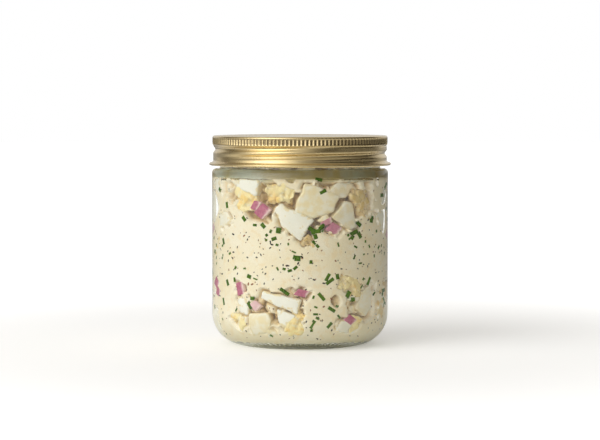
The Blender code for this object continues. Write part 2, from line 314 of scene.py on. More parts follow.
class Sketch:
    """A short way to lay and join shader nodes."""

    def __init__(self, tree: bpy.types.NodeTree) -> None:
        """Starts on an empty tree.

        Args:
            tree: The node tree to fill.
        """
        self.tree = tree
        tree.nodes.clear()

    def node(self, kind: str, **settings: object) -> bpy.types.Node:
        """Adds a node.

        Args:
            kind: The node's type, without its ShaderNode prefix.
            settings: Settings of the node itself.

        Returns:
            The new node.
        """
        made = self.tree.nodes.new(kind if kind.startswith("NodeGroup") else f"ShaderNode{kind}")
        for key, value in settings.items():
            setattr(made, key, value)
        return made

    def feed(self, made: bpy.types.Node, **inputs: object) -> bpy.types.Node:
        """Sets or links a node's inputs.

        Args:
            made: The node.
            inputs: For each input, by its name with _ for a space, a value or another socket.

        Returns:
            The same node.
        """
        for key, value in inputs.items():
            socket = made.inputs[key.replace("_", " ")]
            if isinstance(value, bpy.types.NodeSocket):
                self.tree.links.new(value, socket)
            else:
                socket.default_value = value
        return made

    def math(self, operation: str, *values: object) -> bpy.types.NodeSocket:
        """Adds a Math node.

        Args:
            operation: What it works out.
            values: Its numbers or sockets.

        Returns:
            The node's output.
        """
        made = self.node("Math", operation=operation)
        for socket, value in zip(made.inputs, values):
            if isinstance(value, bpy.types.NodeSocket):
                self.tree.links.new(value, socket)
            else:
                socket.default_value = value
        return made.outputs[0]

    def mix(self, share: object, first: object, second: object) -> bpy.types.NodeSocket:
        """Mixes two colours.

        Args:
            share: The second colour's share, a number or a socket.
            first: A colour or a socket.
            second: A colour or a socket.

        Returns:
            The mixed colour.
        """
        made = self.node("Mix", data_type="RGBA")
        for index, value in ((0, share), (6, first), (7, second)):
            socket = made.inputs[index]
            if isinstance(value, bpy.types.NodeSocket):
                self.tree.links.new(value, socket)
            elif index:
                socket.default_value = (*value, 1.0)
            else:
                socket.default_value = value
        return made.outputs[2]

    def group(self, tree: bpy.types.NodeTree, **inputs: object) -> bpy.types.Node:
        """Places a node group.

        Args:
            tree: The group's tree.
            inputs: Values or sockets for its inputs.

        Returns:
            The group node.
        """
        made = self.tree.nodes.new("ShaderNodeGroup")
        made.node_tree = tree
        return self.feed(made, **inputs)

    def place(self) -> bpy.types.NodeSocket:
        """The place on the object, in metres."""
        return self.node("TexCoord").outputs["Object"]

    def marked(self, name: str) -> bpy.types.NodeSocket:
        """The number that the mesh holds under a name."""
        return self.node("Attribute", attribute_name=name).outputs["Fac"]


class Effects:
    """Node groups that several finishes share, each built once."""

    def __init__(self) -> None:
        """Builds the groups."""
        self.blotches = self._blotches()
        self.relief = self._relief()

    @staticmethod
    def _open(name: str, inputs: dict[str, float], output: str) -> tuple[Sketch, bpy.types.Node]:
        """Opens a group with a Place input, number inputs and one number output.

        Args:
            name: The group's name.
            inputs: The number inputs and their first values.
            output: The output's name.

        Returns:
            The sketch of the group and its input node.
        """
        tree = bpy.data.node_groups.new(name, "ShaderNodeTree")
        tree.interface.new_socket("Place", in_out="INPUT", socket_type="NodeSocketVector")
        for key, value in inputs.items():
            socket = tree.interface.new_socket(key, in_out="INPUT", socket_type="NodeSocketFloat")
            socket.default_value = value
        tree.interface.new_socket(output, in_out="OUTPUT", socket_type="NodeSocketFloat")
        return Sketch(tree), tree.nodes.new("NodeGroupInput")

    def _close(self, sketch: Sketch, value: bpy.types.NodeSocket) -> bpy.types.NodeTree:
        """Joins a group's result to its output.

        Args:
            sketch: The group's sketch.
            value: The result.

        Returns:
            The finished group.
        """
        end = sketch.tree.nodes.new("NodeGroupOutput")
        sketch.tree.links.new(value, end.inputs[0])
        return sketch.tree

    def _blotches(self) -> bpy.types.NodeTree:
        """Soft-edged blotches of a given size that cover a given share of the surface."""
        sketch, start = self._open("blotches", {"Size": 5.0, "Cover": 0.5, "Softness": 0.1}, "Mask")
        scale = sketch.math("DIVIDE", 1.0 / MM, start.outputs["Size"])
        cloud = sketch.feed(
            sketch.node("TexNoise"), Vector=start.outputs["Place"], Scale=scale, Detail=3.0
        )
        middle = sketch.math("SUBTRACT", 0.72, sketch.math("MULTIPLY", start.outputs["Cover"], 0.44))
        low = sketch.math("SUBTRACT", middle, start.outputs["Softness"])
        high = sketch.math("ADD", middle, start.outputs["Softness"])
        ramp = sketch.node("MapRange", interpolation_type="SMOOTHSTEP")
        sketch.feed(ramp, Value=cloud.outputs["Fac"], From_Min=low, From_Max=high)
        return self._close(sketch, ramp.outputs["Result"])

    def _relief(self) -> bpy.types.NodeTree:
        """Uneven height, of a coarse size with a finer one over it."""
        sketch, start = self._open("relief", {"Size": 2.0, "Fine": 0.4}, "Height")
        heights = []
        for share, detail in ((1.0, 2.0), (0.22, 3.0)):
            scale = sketch.math("DIVIDE", 1.0 / MM, sketch.math("MULTIPLY", start.outputs["Size"], share))
            cloud = sketch.feed(
                sketch.node("TexNoise"), Vector=start.outputs["Place"], Scale=scale, Detail=detail
            )
            heights.append(cloud.outputs["Fac"])
        fine = sketch.math("MULTIPLY", heights[1], start.outputs["Fine"])
        return self._close(sketch, sketch.math("ADD", heights[0], fine))


@dataclass(frozen=True)
class Finish:
    """What every finish has: a name, a colour and how rough it is.

    Attributes:
        name: The material's name.
        colour: The main colour, linear.
        roughness: How rough the surface is.
    """

    name: str
    colour: Colour
    roughness: float

    def start(self) -> tuple[bpy.types.Material, Sketch, bpy.types.Node]:
        """Opens the material.

        Returns:
            The material, its sketch and its Principled shader, which is joined to the output.
        """
        material = bpy.data.materials.new(self.name)
        material.use_nodes = True
        sketch = Sketch(material.node_tree)
        shader = sketch.node("BsdfPrincipled")
        sketch.feed(shader, Base_Color=(*self.colour, 1.0), Roughness=self.roughness)
        output = sketch.node("OutputMaterial")
        sketch.tree.links.new(shader.outputs[0], output.inputs["Surface"])
        return material, sketch, shader

    def bump(
        self, sketch: Sketch, shader: bpy.types.Node, height: bpy.types.NodeSocket, depth: float
    ) -> None:
        """Raises a height on the surface.

        Args:
            sketch: The material's sketch.
            shader: Its Principled shader.
            height: The height, from 0 to 1.
            depth: What a height of 1 stands for.
        """
        raised = sketch.feed(sketch.node("Bump"), Height=height, Distance=depth, Strength=1.0)
        sketch.feed(shader, Normal=raised.outputs[0])


@dataclass(frozen=True)
class GlassFinish(Finish):
    """Clear glass with a faint green body, which lets light straight through to the food.

    Attributes:
        body: The colour that a long way through the glass takes on.
        density: How fast it takes that colour on.
        ripple: The size of the glass's faint unevenness, in millimetres.
        ripple_depth: Its depth.
    """

    body: Colour = (0.40, 0.74, 0.42)
    density: float = 9.0
    ripple: float = 14.0
    ripple_depth: float = 0.025 * MM

    def build(self, effects: Effects) -> bpy.types.Material:
        """Builds the material.

        Args:
            effects: The shared node groups.

        Returns:
            The material.
        """
        material, sketch, shader = self.start()
        sketch.feed(shader, IOR=1.5, Transmission_Weight=1.0)
        height = sketch.group(effects.relief, Place=sketch.place(), Size=self.ripple, Fine=0.15)
        self.bump(sketch, shader, height.outputs[0], self.ripple_depth)
        path = sketch.node("LightPath")
        straight = sketch.math("MAXIMUM", path.outputs["Is Shadow Ray"], path.outputs["Is Diffuse Ray"])
        clear = sketch.node("BsdfTransparent")
        blend = sketch.node("MixShader")
        sketch.tree.links.new(straight, blend.inputs[0])
        sketch.tree.links.new(shader.outputs[0], blend.inputs[1])
        sketch.tree.links.new(clear.outputs[0], blend.inputs[2])
        output = next(n for n in sketch.tree.nodes if n.type == "OUTPUT_MATERIAL")
        sketch.tree.links.new(blend.outputs[0], output.inputs["Surface"])
        tint = sketch.feed(
            sketch.node("VolumeAbsorption"), Color=(*self.body, 1.0), Density=self.density
        )
        sketch.tree.links.new(tint.outputs[0], output.inputs["Volume"])
        return material


@dataclass(frozen=True)
class GoldFinish(Finish):
    """Satin gold lacquer on tinplate.

    Attributes:
        deep: The colour of the darker, less rubbed patches.
        grooves: The painted shade in the narrow grooves between the knurls.
    """

    deep: Colour = (0.60, 0.44, 0.20)
    grooves: Colour = (0.24, 0.16, 0.06)

    def build(self, effects: Effects) -> bpy.types.Material:
        """Builds the material.

        Args:
            effects: The shared node groups.

        Returns:
            The material.
        """
        material, sketch, shader = self.start()
        place = sketch.place()
        patches = sketch.group(effects.blotches, Place=place, Size=9.0, Cover=0.5, Softness=0.2)
        grain = sketch.group(effects.relief, Place=place, Size=0.35, Fine=0.5)
        rough = sketch.node("MapRange")
        sketch.feed(rough, Value=patches.outputs[0], To_Min=self.roughness - 0.03)
        sketch.feed(rough, To_Max=self.roughness + 0.04)
        shade = sketch.mix(sketch.math("MULTIPLY", patches.outputs[0], 0.25), self.colour, self.deep)
        # Painted shade: the grooves between the knurls are darkened.
        shade = sketch.mix(sketch.math("MULTIPLY", sketch.marked("groove"), 0.9), shade, self.grooves)
        sketch.feed(shader, Base_Color=shade, Roughness=rough.outputs[0], Metallic=1.0)
        sketch.feed(shader, Coat_Weight=1.0, Coat_Roughness=0.22, Coat_IOR=1.7)
        self.bump(sketch, shader, grain.outputs[0], 0.0015 * MM)
        return material


@dataclass(frozen=True)
class DressingFinish(Finish):
    """Thick mayonnaise dressing, cream coloured, tinted here and there by crumbled yolk, with painted shade
    in its hollows.

    Attributes:
        yolk_and_shade: The colour where yolk is stirred in, also laid on shallow recesses as painted shade.
        pale: The colour of thin, pale smears.
        recess_shade: The painted shade of its deepest pockets.
        film: The painted shade under the shoulder of the glass, where the thick glass hides the food.
        shoulder_reflection: The painted reflection in that band's paler stretches.
    """

    yolk_and_shade: Colour = (0.84, 0.64, 0.32)
    pale: Colour = (0.90, 0.84, 0.68)
    recess_shade: Colour = (0.46, 0.30, 0.11)
    film: Colour = (0.46, 0.37, 0.16)
    shoulder_reflection: Colour = (0.54, 0.56, 0.44)

    def build(self, effects: Effects) -> bpy.types.Material:
        """Builds the material.

        Args:
            effects: The shared node groups.

        Returns:
            The material.
        """
        material, sketch, shader = self.start()
        place = sketch.place()
        wide = sketch.group(effects.blotches, Place=place, Size=11.0, Cover=0.45, Softness=0.16)
        small = sketch.group(effects.blotches, Place=place, Size=2.8, Cover=0.3, Softness=0.08)
        depth = sketch.marked("recess")
        shade = sketch.mix(sketch.math("MULTIPLY", wide.outputs[0], 0.6), self.colour, self.pale)
        shade = sketch.mix(sketch.math("MULTIPLY", small.outputs[0], 0.35), shade, self.yolk_and_shade)
        # Painted shade: the deeper the dressing lies behind the glass, the darker it is made.
        for tint, start, end, share in ((self.yolk_and_shade, 0.12, 0.40, 0.7), (self.recess_shade, 0.32, 0.68, 0.8)):
            recess_shade_share = sketch.node("MapRange", interpolation_type="SMOOTHSTEP")
            sketch.feed(recess_shade_share, Value=depth, From_Min=start, From_Max=end, To_Max=share)
            shade = sketch.mix(recess_shade_share.outputs[0], shade, tint)
        streaks = sketch.group(effects.blotches, Place=place, Size=16.0, Cover=0.5, Softness=0.12)
        # Painted shade and painted reflection in the band that the glass's shoulder hides.
        shade = sketch.mix(
            sketch.marked("shoulder"), shade, sketch.mix(streaks.outputs[0], self.film, self.shoulder_reflection)
        )
        lumps = sketch.group(effects.relief, Place=place, Size=1.3, Fine=0.5)
        sketch.feed(shader, Base_Color=shade, Specular_IOR_Level=0.3)
        self.bump(sketch, shader, lumps.outputs[0], 0.15 * MM)
        return material


@dataclass(frozen=True)
class WhiteFinish(Finish):
    """Firm egg white, smooth and faintly green-grey, smeared here and there with dressing.

    Attributes:
        cool: The colour of its thinner, greyer places.
        smear: The colour of the dressing on it.
        painted_shade: The painted shade on its sides, deep between the pieces.
    """

    cool: Colour = (0.80, 0.80, 0.70)
    smear: Colour = (0.82, 0.70, 0.42)
    painted_shade: Colour = (0.62, 0.43, 0.17)

    def build(self, effects: Effects) -> bpy.types.Material:
        """Builds the material.

        Args:
            effects: The shared node groups.

        Returns:
            The material.
        """
        material, sketch, shader = self.start()
        place = sketch.place()
        clouds = sketch.group(effects.blotches, Place=place, Size=8.0, Cover=0.5, Softness=0.22)
        cover = sketch.math("MULTIPLY_ADD", sketch.marked("rim"), -0.48, 0.60)
        smears = sketch.group(effects.blotches, Place=place, Size=2.6, Cover=cover, Softness=0.05)
        shade = sketch.mix(sketch.math("MULTIPLY", clouds.outputs[0], 0.6), self.colour, self.cool)
        streaks = sketch.group(effects.blotches, Place=place, Size=4.2, Cover=0.5, Softness=0.12)
        thickness = sketch.math("MULTIPLY_ADD", streaks.outputs[0], 0.75, 0.45)
        coat = sketch.math("MULTIPLY", sketch.marked("coat"), thickness)
        coated = sketch.math("MAXIMUM", sketch.math("MULTIPLY", smears.outputs[0], 0.9), coat)
        shade = sketch.mix(coated, shade, self.smear)
        # Painted shade on the sides of the dice, darker the further in from the glass.
        shade = sketch.mix(sketch.math("MULTIPLY", sketch.marked("shaded"), 0.85), shade, self.painted_shade)
        ripple = sketch.group(effects.relief, Place=place, Size=3.0, Fine=0.2)
        sketch.feed(shader, Base_Color=shade, Specular_IOR_Level=0.35)
        self.bump(sketch, shader, ripple.outputs[0], 0.10 * MM)
        return material


@dataclass(frozen=True)
class YolkFinish(Finish):
    """Hard-boiled yolk, crumbly, pale where dressed and deeper yellow where bare.

    Attributes:
        deep: The deeper yellow.
        dressed: The colour where dressing coats it.
        painted_shade: The painted shade of lumps that lie back in the shade.
    """

    deep: Colour = (0.96, 0.64, 0.18)
    dressed: Colour = (0.94, 0.86, 0.64)
    painted_shade: Colour = (0.60, 0.42, 0.19)

    def build(self, effects: Effects) -> bpy.types.Material:
        """Builds the material.

        Args:
            effects: The shared node groups.

        Returns:
            The material.
        """
        material, sketch, shader = self.start()
        place = sketch.place()
        rich = sketch.group(effects.blotches, Place=place, Size=5.5, Cover=0.4, Softness=0.10)
        thin = sketch.group(effects.blotches, Place=place, Size=3.2, Cover=0.24, Softness=0.05)
        shade = sketch.mix(sketch.math("MULTIPLY", rich.outputs[0], 0.7), self.colour, self.deep)
        shade = sketch.mix(sketch.math("MULTIPLY", thin.outputs[0], 0.7), shade, self.dressed)
        # Painted shade on lumps that lie back, as much as their coat mark says.
        shade = sketch.mix(sketch.marked("coat"), shade, self.painted_shade)
        crumb = sketch.group(effects.relief, Place=place, Size=1.1, Fine=0.8)
        sketch.feed(shader, Base_Color=shade, Specular_IOR_Level=0.2)
        self.bump(sketch, shader, crumb.outputs[0], 0.35 * MM)
        return material


@dataclass(frozen=True)
class OnionFinish(Finish):
    """Red onion: purple on its skin side, pale pink where it is cut.

    Attributes:
        cut: The colour of the cut sides.
        dark: The purple's darker streaks.
    """

    cut: Colour = (0.82, 0.62, 0.58)
    dark: Colour = (0.32, 0.07, 0.14)

    def build(self, effects: Effects) -> bpy.types.Material:
        """Builds the material.

        Args:
            effects: The shared node groups.

        Returns:
            The material.
        """
        material, sketch, shader = self.start()
        place = sketch.place()
        streaks = sketch.group(effects.blotches, Place=place, Size=1.2, Cover=0.45, Softness=0.14)
        skin = sketch.mix(sketch.math("MULTIPLY", streaks.outputs[0], 0.5), self.colour, self.dark)
        shade = sketch.mix(sketch.marked("skin"), self.cut, skin)
        film = sketch.group(effects.relief, Place=place, Size=0.9, Fine=0.3)
        sketch.feed(shader, Base_Color=shade, Specular_IOR_Level=0.35)
        self.bump(sketch, shader, film.outputs[0], 0.08 * MM)
        return material


@dataclass(frozen=True)
class ChiveFinish(Finish):
    """Fresh chive, dark green outside with paler streaks.

    Attributes:
        pale: The paler green.
    """

    pale: Colour = (0.16, 0.30, 0.015)

    def build(self, effects: Effects) -> bpy.types.Material:
        """Builds the material.

        Args:
            effects: The shared node groups.

        Returns:
            The material.
        """
        material, sketch, shader = self.start()
        place = sketch.place()
        streaks = sketch.group(effects.blotches, Place=place, Size=0.8, Cover=0.45, Softness=0.12)
        share = sketch.math("MAXIMUM", streaks.outputs[0], sketch.marked("tone"))
        shade = sketch.mix(sketch.math("MULTIPLY", share, 0.42), self.colour, self.pale)
        ribs = sketch.group(effects.relief, Place=place, Size=0.5, Fine=0.3)
        sketch.feed(shader, Base_Color=shade, Specular_IOR_Level=0.15)
        self.bump(sketch, shader, ribs.outputs[0], 0.05 * MM)
        return material


@dataclass(frozen=True)
class PepperFinish(Finish):
    """Cracked pepper, black with some reddish brown flakes.

    Attributes:
        brown: The flakes' brown.
    """

    brown: Colour = (0.26, 0.11, 0.045)

    def build(self, effects: Effects) -> bpy.types.Material:
        """Builds the material.

        Args:
            effects: The shared node groups.

        Returns:
            The material.
        """
        material, sketch, shader = self.start()
        grit = sketch.group(effects.relief, Place=sketch.place(), Size=0.25, Fine=0.5)
        shade = sketch.mix(sketch.marked("tone"), self.colour, self.brown)
        sketch.feed(shader, Base_Color=shade, Specular_IOR_Level=0.2)
        self.bump(sketch, shader, grit.outputs[0], 0.05 * MM)
        return material


# The glass


@dataclass
class GlassJar:
    """The jar, and the inner face that the food presses against.

    Attributes:
        body_radius: The body's outer radius.
        rim_top: The height of the rim.
        columns: The number of columns round the jar.
        wall: The thickness of the body's wall.
        floor_top: The height of the floor's upper side.
        outer_heel: The radius of the heel outside.
        inner_heel: Its radius inside.
        foot_ring: The width of the ring that it stands on.
        push_up: How far the bottom rises inside that ring.
        shoulder_low: The height where the shoulder starts inside.
        shoulder_high: The height where it ends inside.
        shoulder_top: The height of its flat top outside.
        shoulder_corner: The radius of its corner.
        neck_radius: The neck's outer radius.
        neck_wall: The thickness of the neck's wall.
        neck_fillet: The radius between shoulder and neck.
        rim_round: The radius of the rim's edges.
        notch_depth: How deep the notches in the foot ring are.
    """

    body_radius: float
    rim_top: float
    columns: int = 288
    wall: float = 2.8 * MM
    floor_top: float = 5.0 * MM
    outer_heel: float = 15.5 * MM
    inner_heel: float = 12.0 * MM
    foot_ring: float = 2.5 * MM
    push_up: float = 1.2 * MM
    shoulder_low: float = 83.0 * MM
    shoulder_high: float = 88.6 * MM
    shoulder_top: float = 88.8 * MM
    shoulder_corner: float = 2.0 * MM
    neck_radius: float = 40.4 * MM
    neck_wall: float = 2.8 * MM
    neck_fillet: float = 0.8 * MM
    rim_round: float = 1.1 * MM
    notch_depth: float = 0.3 * MM

    def __post_init__(self) -> None:
        """Measures the inner face, from the middle of the floor up to the rim."""
        section = np.array(self.inner_section())
        steps = np.diff(section, axis=0)
        lengths = np.hypot(steps[:, 0], steps[:, 1])
        self._along = np.concatenate(([0.0], np.cumsum(lengths)))
        self._section = section
        tangent = np.gradient(section, self._along, axis=0)
        size = np.hypot(tangent[:, 0], tangent[:, 1])
        self._outward = np.column_stack((tangent[:, 1], -tangent[:, 0])) / size[:, None]

    def inner_section(self) -> Section:
        """The inner face's section, from the middle of the floor up to the rim."""
        side = self.body_radius - self.wall
        neck = self.neck_radius - self.neck_wall
        flat = side - self.inner_heel
        section = [(0.0, self.floor_top), *line((0.0, self.floor_top), (flat, self.floor_top), 12)]
        section += arc((flat, self.floor_top + self.inner_heel), self.inner_heel, -90, 0, 30)[1:]
        section += line(section[-1], (side, self.shoulder_low), 40)
        for k in range(1, 15):
            height = self.shoulder_low + (self.shoulder_high - self.shoulder_low) * k / 14
            section.append((side + (neck - side) * float(ease(k / 14)), height))
        section += line(section[-1], (neck, self.rim_top - self.rim_round), 10)
        return section

    def along(self, height: float) -> float:
        """How far up the inner face a height is, by its length from the middle of the floor.

        Args:
            height: A height above the floor's round edge.

        Returns:
            The length along the section.
        """
        return float(np.interp(height, self._section[13:, 1], self._along[13:]))

    def height(self, along: np.ndarray) -> np.ndarray:
        """The heights of places on the inner face."""
        return np.interp(along, self._along, self._section[:, 1])

    def places(self, azimuth: np.ndarray, along: np.ndarray, depth: np.ndarray) -> np.ndarray:
        """Places inside the jar, measured from its inner face.

        Args:
            azimuth: Degrees round the jar.
            along: Lengths up the inner face.
            depth: How far in from the face; below 0 is into the glass.

        Returns:
            The places, one row each.
        """
        radius = np.interp(along, self._along, self._section[:, 0])
        height = np.interp(along, self._along, self._section[:, 1])
        out = np.interp(along, self._along, self._outward[:, 0])
        up = np.interp(along, self._along, self._outward[:, 1])
        radius = radius - out * depth
        turn = np.radians(azimuth)
        return np.column_stack((radius * np.sin(turn), -radius * np.cos(turn), height - up * depth))

    def wrap(self, points: np.ndarray, azimuth: float, along: float) -> np.ndarray:
        """Wraps a flat piece's points onto the inner face.

        Args:
            points: Points with x to the right, y inwards from the face and z up.
            azimuth: Where the piece's middle goes, in degrees round the jar.
            along: Where the piece's middle goes up the inner face.

        Returns:
            The wrapped points.
        """
        rise = along + points[:, 2]
        least = self.inner_heel
        radius = np.maximum(np.interp(rise, self._along, self._section[:, 0]), least)
        return self.places(azimuth + np.degrees(points[:, 0] / radius), rise, points[:, 1])

    def outer_section(self) -> Section:
        """The outer side's section, from the rim down to the middle of the push-up."""
        neck, body = self.neck_radius, self.body_radius
        fillet, corner, heel = self.neck_fillet, self.shoulder_corner, self.outer_heel
        section = arc((neck - self.rim_round, self.rim_top - self.rim_round), self.rim_round, 90, 0, 6)
        section += line(section[-1], (neck, self.shoulder_top + fillet), 8)[:-1]
        section += arc((neck + fillet, self.shoulder_top + fillet), fillet, 180, 270, 6)
        section += arc((body - corner, self.shoulder_top - corner), corner, 90, 0, 10)
        section += line(section[-1], (body, heel), 20)[:-1]
        section += arc((body - heel, heel), heel, 0, -84, 34)
        ring = body - heel
        section += [(ring + 0.7 * MM, 0.03 * MM), (ring, 0.0)]
        section += line((ring, 0.0), (ring - self.foot_ring, 0.0), 3)
        section += [(ring - self.foot_ring - 0.8 * MM, 0.2 * MM)]
        middle = ring - self.foot_ring - 0.8 * MM
        for k in range(1, 9):
            share = k / 8
            section.append((middle * (1.0 - share), 0.2 * MM + self.push_up * float(ease(share * 2.0))))
        return section

    def build(self) -> bpy.types.Object:
        """Turns the jar and notches its foot.

        Returns:
            The jar.
        """
        neck = self.neck_radius - self.neck_wall
        rim = arc((neck + self.rim_round, self.rim_top - self.rim_round), self.rim_round, 180, 90, 6)
        jar = turned("glass_jar", self.inner_section() + rim[1:] + self.outer_section(), self.columns)
        points = coordinates(jar.data)
        radius = np.hypot(points[:, 0], points[:, 1])
        turn = np.arctan2(points[:, 1], points[:, 0]) / math.tau * self.columns
        ring = self.body_radius - self.outer_heel
        middle = ring - self.foot_ring / 2
        on_ring = ease(1.6 - np.abs(radius - middle) / self.foot_ring) * (points[:, 2] < 0.4 * MM)
        notched = (np.round(turn) % 4 >= 2).astype(float)
        share = on_ring * notched
        press(jar, "foot_notches", self.notch_depth, share)
        smooth(jar)
        return jar


# The lid


@dataclass
class ScrewLid:
    """The gold lid: knurled band, pressed thread and curled edge.

    Attributes:
        top: The height of the lid's top.
        reach: The radius of the curled edge.
        columns: The number of columns round the lid.
        knurls: The number of grooves in the knurled band.
        knurl_depth: Their depth.
        crest_radius: The radius of the knurled band.
        knurl_top: The height of the grooves' upper ends.
        knurl_bottom: The height of their lower ends.
        skirt_radius: The radius of the skirt under the band.
        skirt_bottom: The height where the skirt starts to flare.
        inner_radius: The radius of the skirt's inside.
        sheet: The thickness of the top panel.
        panel_radius: The radius of the top panel.
        panel_drop: How far the panel lies below the edge's crest.
        curl: The radius of the curled edge's roll.
        curl_height: The height of the roll's middle.
        thread_depth: How deep the thread is pressed.
        thread_half_width: Half the width of its groove.
        thread_pitch: How far it climbs in one turn.
        thread_height: Its height where its turn is 0.
        thread_start: The turn where it starts, in degrees.
        thread_end: The turn where it ends.
        thread_fade: The turn over which each end fades out.
    """

    top: float
    reach: float
    columns: int = 840
    knurls: int = 140
    knurl_depth: float = 0.55 * MM
    crest_radius: float = 44.25 * MM
    knurl_top: float = 104.35 * MM
    knurl_bottom: float = 100.85 * MM
    skirt_radius: float = 43.9 * MM
    skirt_bottom: float = 92.9 * MM
    inner_radius: float = 42.2 * MM
    sheet: float = 0.6 * MM
    panel_radius: float = 39.4 * MM
    panel_drop: float = 0.3 * MM
    curl: float = 0.75 * MM
    curl_height: float = 91.1 * MM
    thread_depth: float = 1.05 * MM
    thread_half_width: float = 1.85 * MM
    thread_pitch: float = 4.0 * MM
    thread_height: float = 96.5 * MM
    thread_start: float = -165.0
    thread_end: float = 300.0
    thread_fade: float = 50.0

    def section(self) -> Section:
        """The lid's section, out along its top, down outside, round the curl and up inside."""
        panel, flat = self.panel_radius, self.top - self.panel_drop
        section = [(0.0, flat), *line((0.0, flat), (panel - 4.0 * MM, flat), 8)]
        section += [(panel - 3.6 * MM, flat + 0.12 * MM), (panel - 3.2 * MM, flat + 0.16 * MM)]
        section += [(panel - 2.8 * MM, flat + 0.12 * MM), (panel - 2.4 * MM, flat), (panel, flat)]
        section += [(panel + 0.5 * MM, flat + 0.06 * MM), (panel + 1.0 * MM, self.top - 0.06 * MM)]
        round_edge = 0.95 * MM
        section += [(panel + 1.6 * MM, self.top)]
        section += arc((self.crest_radius - round_edge, self.top - round_edge), round_edge, 90, 0, 7)
        section += line(section[-1], (self.crest_radius, self.knurl_bottom), 14)
        section += [(self.crest_radius - 0.25 * MM, self.knurl_bottom - 0.22 * MM)]
        section += [(self.skirt_radius - 0.2 * MM, self.knurl_bottom - 0.5 * MM)]
        start = (self.skirt_radius, self.knurl_bottom - 0.9 * MM)
        section += [start, *line(start, (self.skirt_radius, self.skirt_bottom), 30)]
        tip = (self.reach - self.curl, self.curl_height)
        foot = (tip[0], self.curl_height + self.curl)
        for k in range(1, 6):
            share = k / 6
            bend = share * share
            section.append(
                (
                    self.skirt_radius + (foot[0] - self.skirt_radius) * bend,
                    self.skirt_bottom + (foot[1] - self.skirt_bottom) * math.sqrt(share) * 0.92,
                )
            )
        section += arc(tip, self.curl, 95, -165, 14)
        inside = self.inner_radius
        under = flat - self.sheet
        section += [(inside + 1.2 * MM, self.curl_height), (inside, self.curl_height + 2.5 * MM)]
        section += line(section[-1], (inside, under - 0.8 * MM), 6)
        section += [(inside - 0.8 * MM, under), *line((inside - 0.8 * MM, under), (0.0, under), 6)]
        return section

    def thread_share(self, azimuth: np.ndarray, height: np.ndarray) -> np.ndarray:
        """How deep the thread goes in at places on the skirt.

        Args:
            azimuth: Degrees round the lid.
            height: The places' heights.

        Returns:
            The share of the thread's full depth at each place.
        """
        share = np.zeros(len(azimuth))
        for turn in (-360.0, 0.0, 360.0):
            along = azimuth - 90.0 + turn
            middle = self.thread_height + self.thread_pitch * along / 360.0
            across = np.clip(np.abs(height - middle) / self.thread_half_width, 0.0, 1.0)
            ends = ease((along - self.thread_start) / self.thread_fade)
            ends = ends * ease((self.thread_end - along) / self.thread_fade)
            share = np.maximum(share, ends * (0.5 + 0.5 * np.cos(math.pi * across)))
        return share

    def build(self) -> bpy.types.Object:
        """Turns the lid, then presses the thread and the knurls into it.

        Returns:
            The lid.
        """
        lid = turned("screw_lid", self.section(), self.columns)
        points = coordinates(lid.data)
        radius = np.hypot(points[:, 0], points[:, 1])
        azimuth = np.degrees(np.arctan2(points[:, 0], -points[:, 1]))
        on_skirt = (np.abs(radius - self.skirt_radius) < 0.02 * MM) & (points[:, 2] > self.skirt_bottom)
        press(lid, "thread", self.thread_depth, self.thread_share(azimuth, points[:, 2]) * on_skirt)
        ends = ease((self.knurl_top - points[:, 2]) / (0.5 * MM))
        ends = ends * ease((points[:, 2] - self.knurl_bottom) / (0.5 * MM))
        on_band = np.abs(radius - self.crest_radius) < 0.3 * MM
        wave = np.abs((azimuth * self.knurls / 360.0) % 1.0 * 2.0 - 1.0)
        press(lid, "knurls", self.knurl_depth, wave * ends * on_band)
        # Marks the grooves between the knurls, where the gold's material paints shade.
        mark(lid.data, "groove", ease(wave * 1.5 - 0.35) * ends * on_band)
        smooth(lid, 80.0)
        return lid


# The food


@dataclass(frozen=True)
class PhotoView:
    """The photograph's camera, in front of the jar, and what it sees through the glass.

    Attributes:
        distance: The camera's distance from the jar's axis, in millimetres.
        eye_height: The camera's height, in millimetres.
        focal_pixels: The focal length, in pixels of the photograph.
        horizon: The row of the horizon in the photograph, in pixels from its top.
        width: The photograph's width, in pixels.
        tall: Its height, in pixels.
        outer_radius: The radius of the jar's outer face, in millimetres.
        inner_radius: The radius of its inner face, in millimetres.
        refraction: The glass's index of refraction.
        rounds: How often the angle of a place is worked out again from its depth.
    """

    distance: float = 1045.4
    eye_height: float = 123.2
    focal_pixels: float = 2066.0
    horizon: float = 100.0
    width: float = 600.0
    tall: float = 440.0
    outer_radius: float = 44.5
    inner_radius: float = 41.7
    refraction: float = 1.5
    rounds: int = 20

    def depth(self, angle: float) -> float:
        """How far off the outer face is, at an angle round the jar in radians."""
        return self.distance - self.outer_radius * math.cos(angle)

    def angle(self, across: float) -> float:
        """The angle round the jar of what shows through the glass at a column.

        Args:
            across: The column, in pixels from the photograph's left.

        Returns:
            The angle on the inner face, in radians.
        """
        angle = 0.0
        for _ in range(self.rounds):
            aside = (across - self.width / 2) / self.focal_pixels * self.depth(angle)
            met = math.asin(aside / self.outer_radius)
            bent = math.asin(aside / (self.refraction * self.outer_radius))
            angle = met - bent + math.asin(aside / (self.refraction * self.inner_radius))
        return angle

    def place(self, across: float, down: float) -> tuple[float, float]:
        """The place on the inner face that shows at a pixel.

        Args:
            across: The pixel's column.
            down: Its row, from the photograph's top.

        Returns:
            The azimuth in degrees and the height in millimetres, to a tenth.
        """
        angle = self.angle(across)
        height = self.eye_height - (down - self.horizon) / self.focal_pixels * self.depth(angle)
        return round(math.degrees(angle), 1), round(height, 1)

    def box(self, across: float, down: float, wide: float, high: float) -> tuple[float, ...]:
        """The place and size of what shows in a box of the photograph.

        Args:
            across: The column of the box's middle.
            down: The row of its middle.
            wide: Its width, in pixels.
            high: Its height, in pixels.

        Returns:
            The azimuth in degrees, then the height, width and tallness in millimetres.
        """
        round_jar = self.angle(across + wide / 2) - self.angle(across - wide / 2)
        tall = high / self.focal_pixels * self.depth(self.angle(across))
        return (*self.place(across, down), round(round_jar * self.inner_radius, 1), round(tall, 1))


VIEW = PhotoView()
seen = VIEW.place
seen_box = VIEW.box


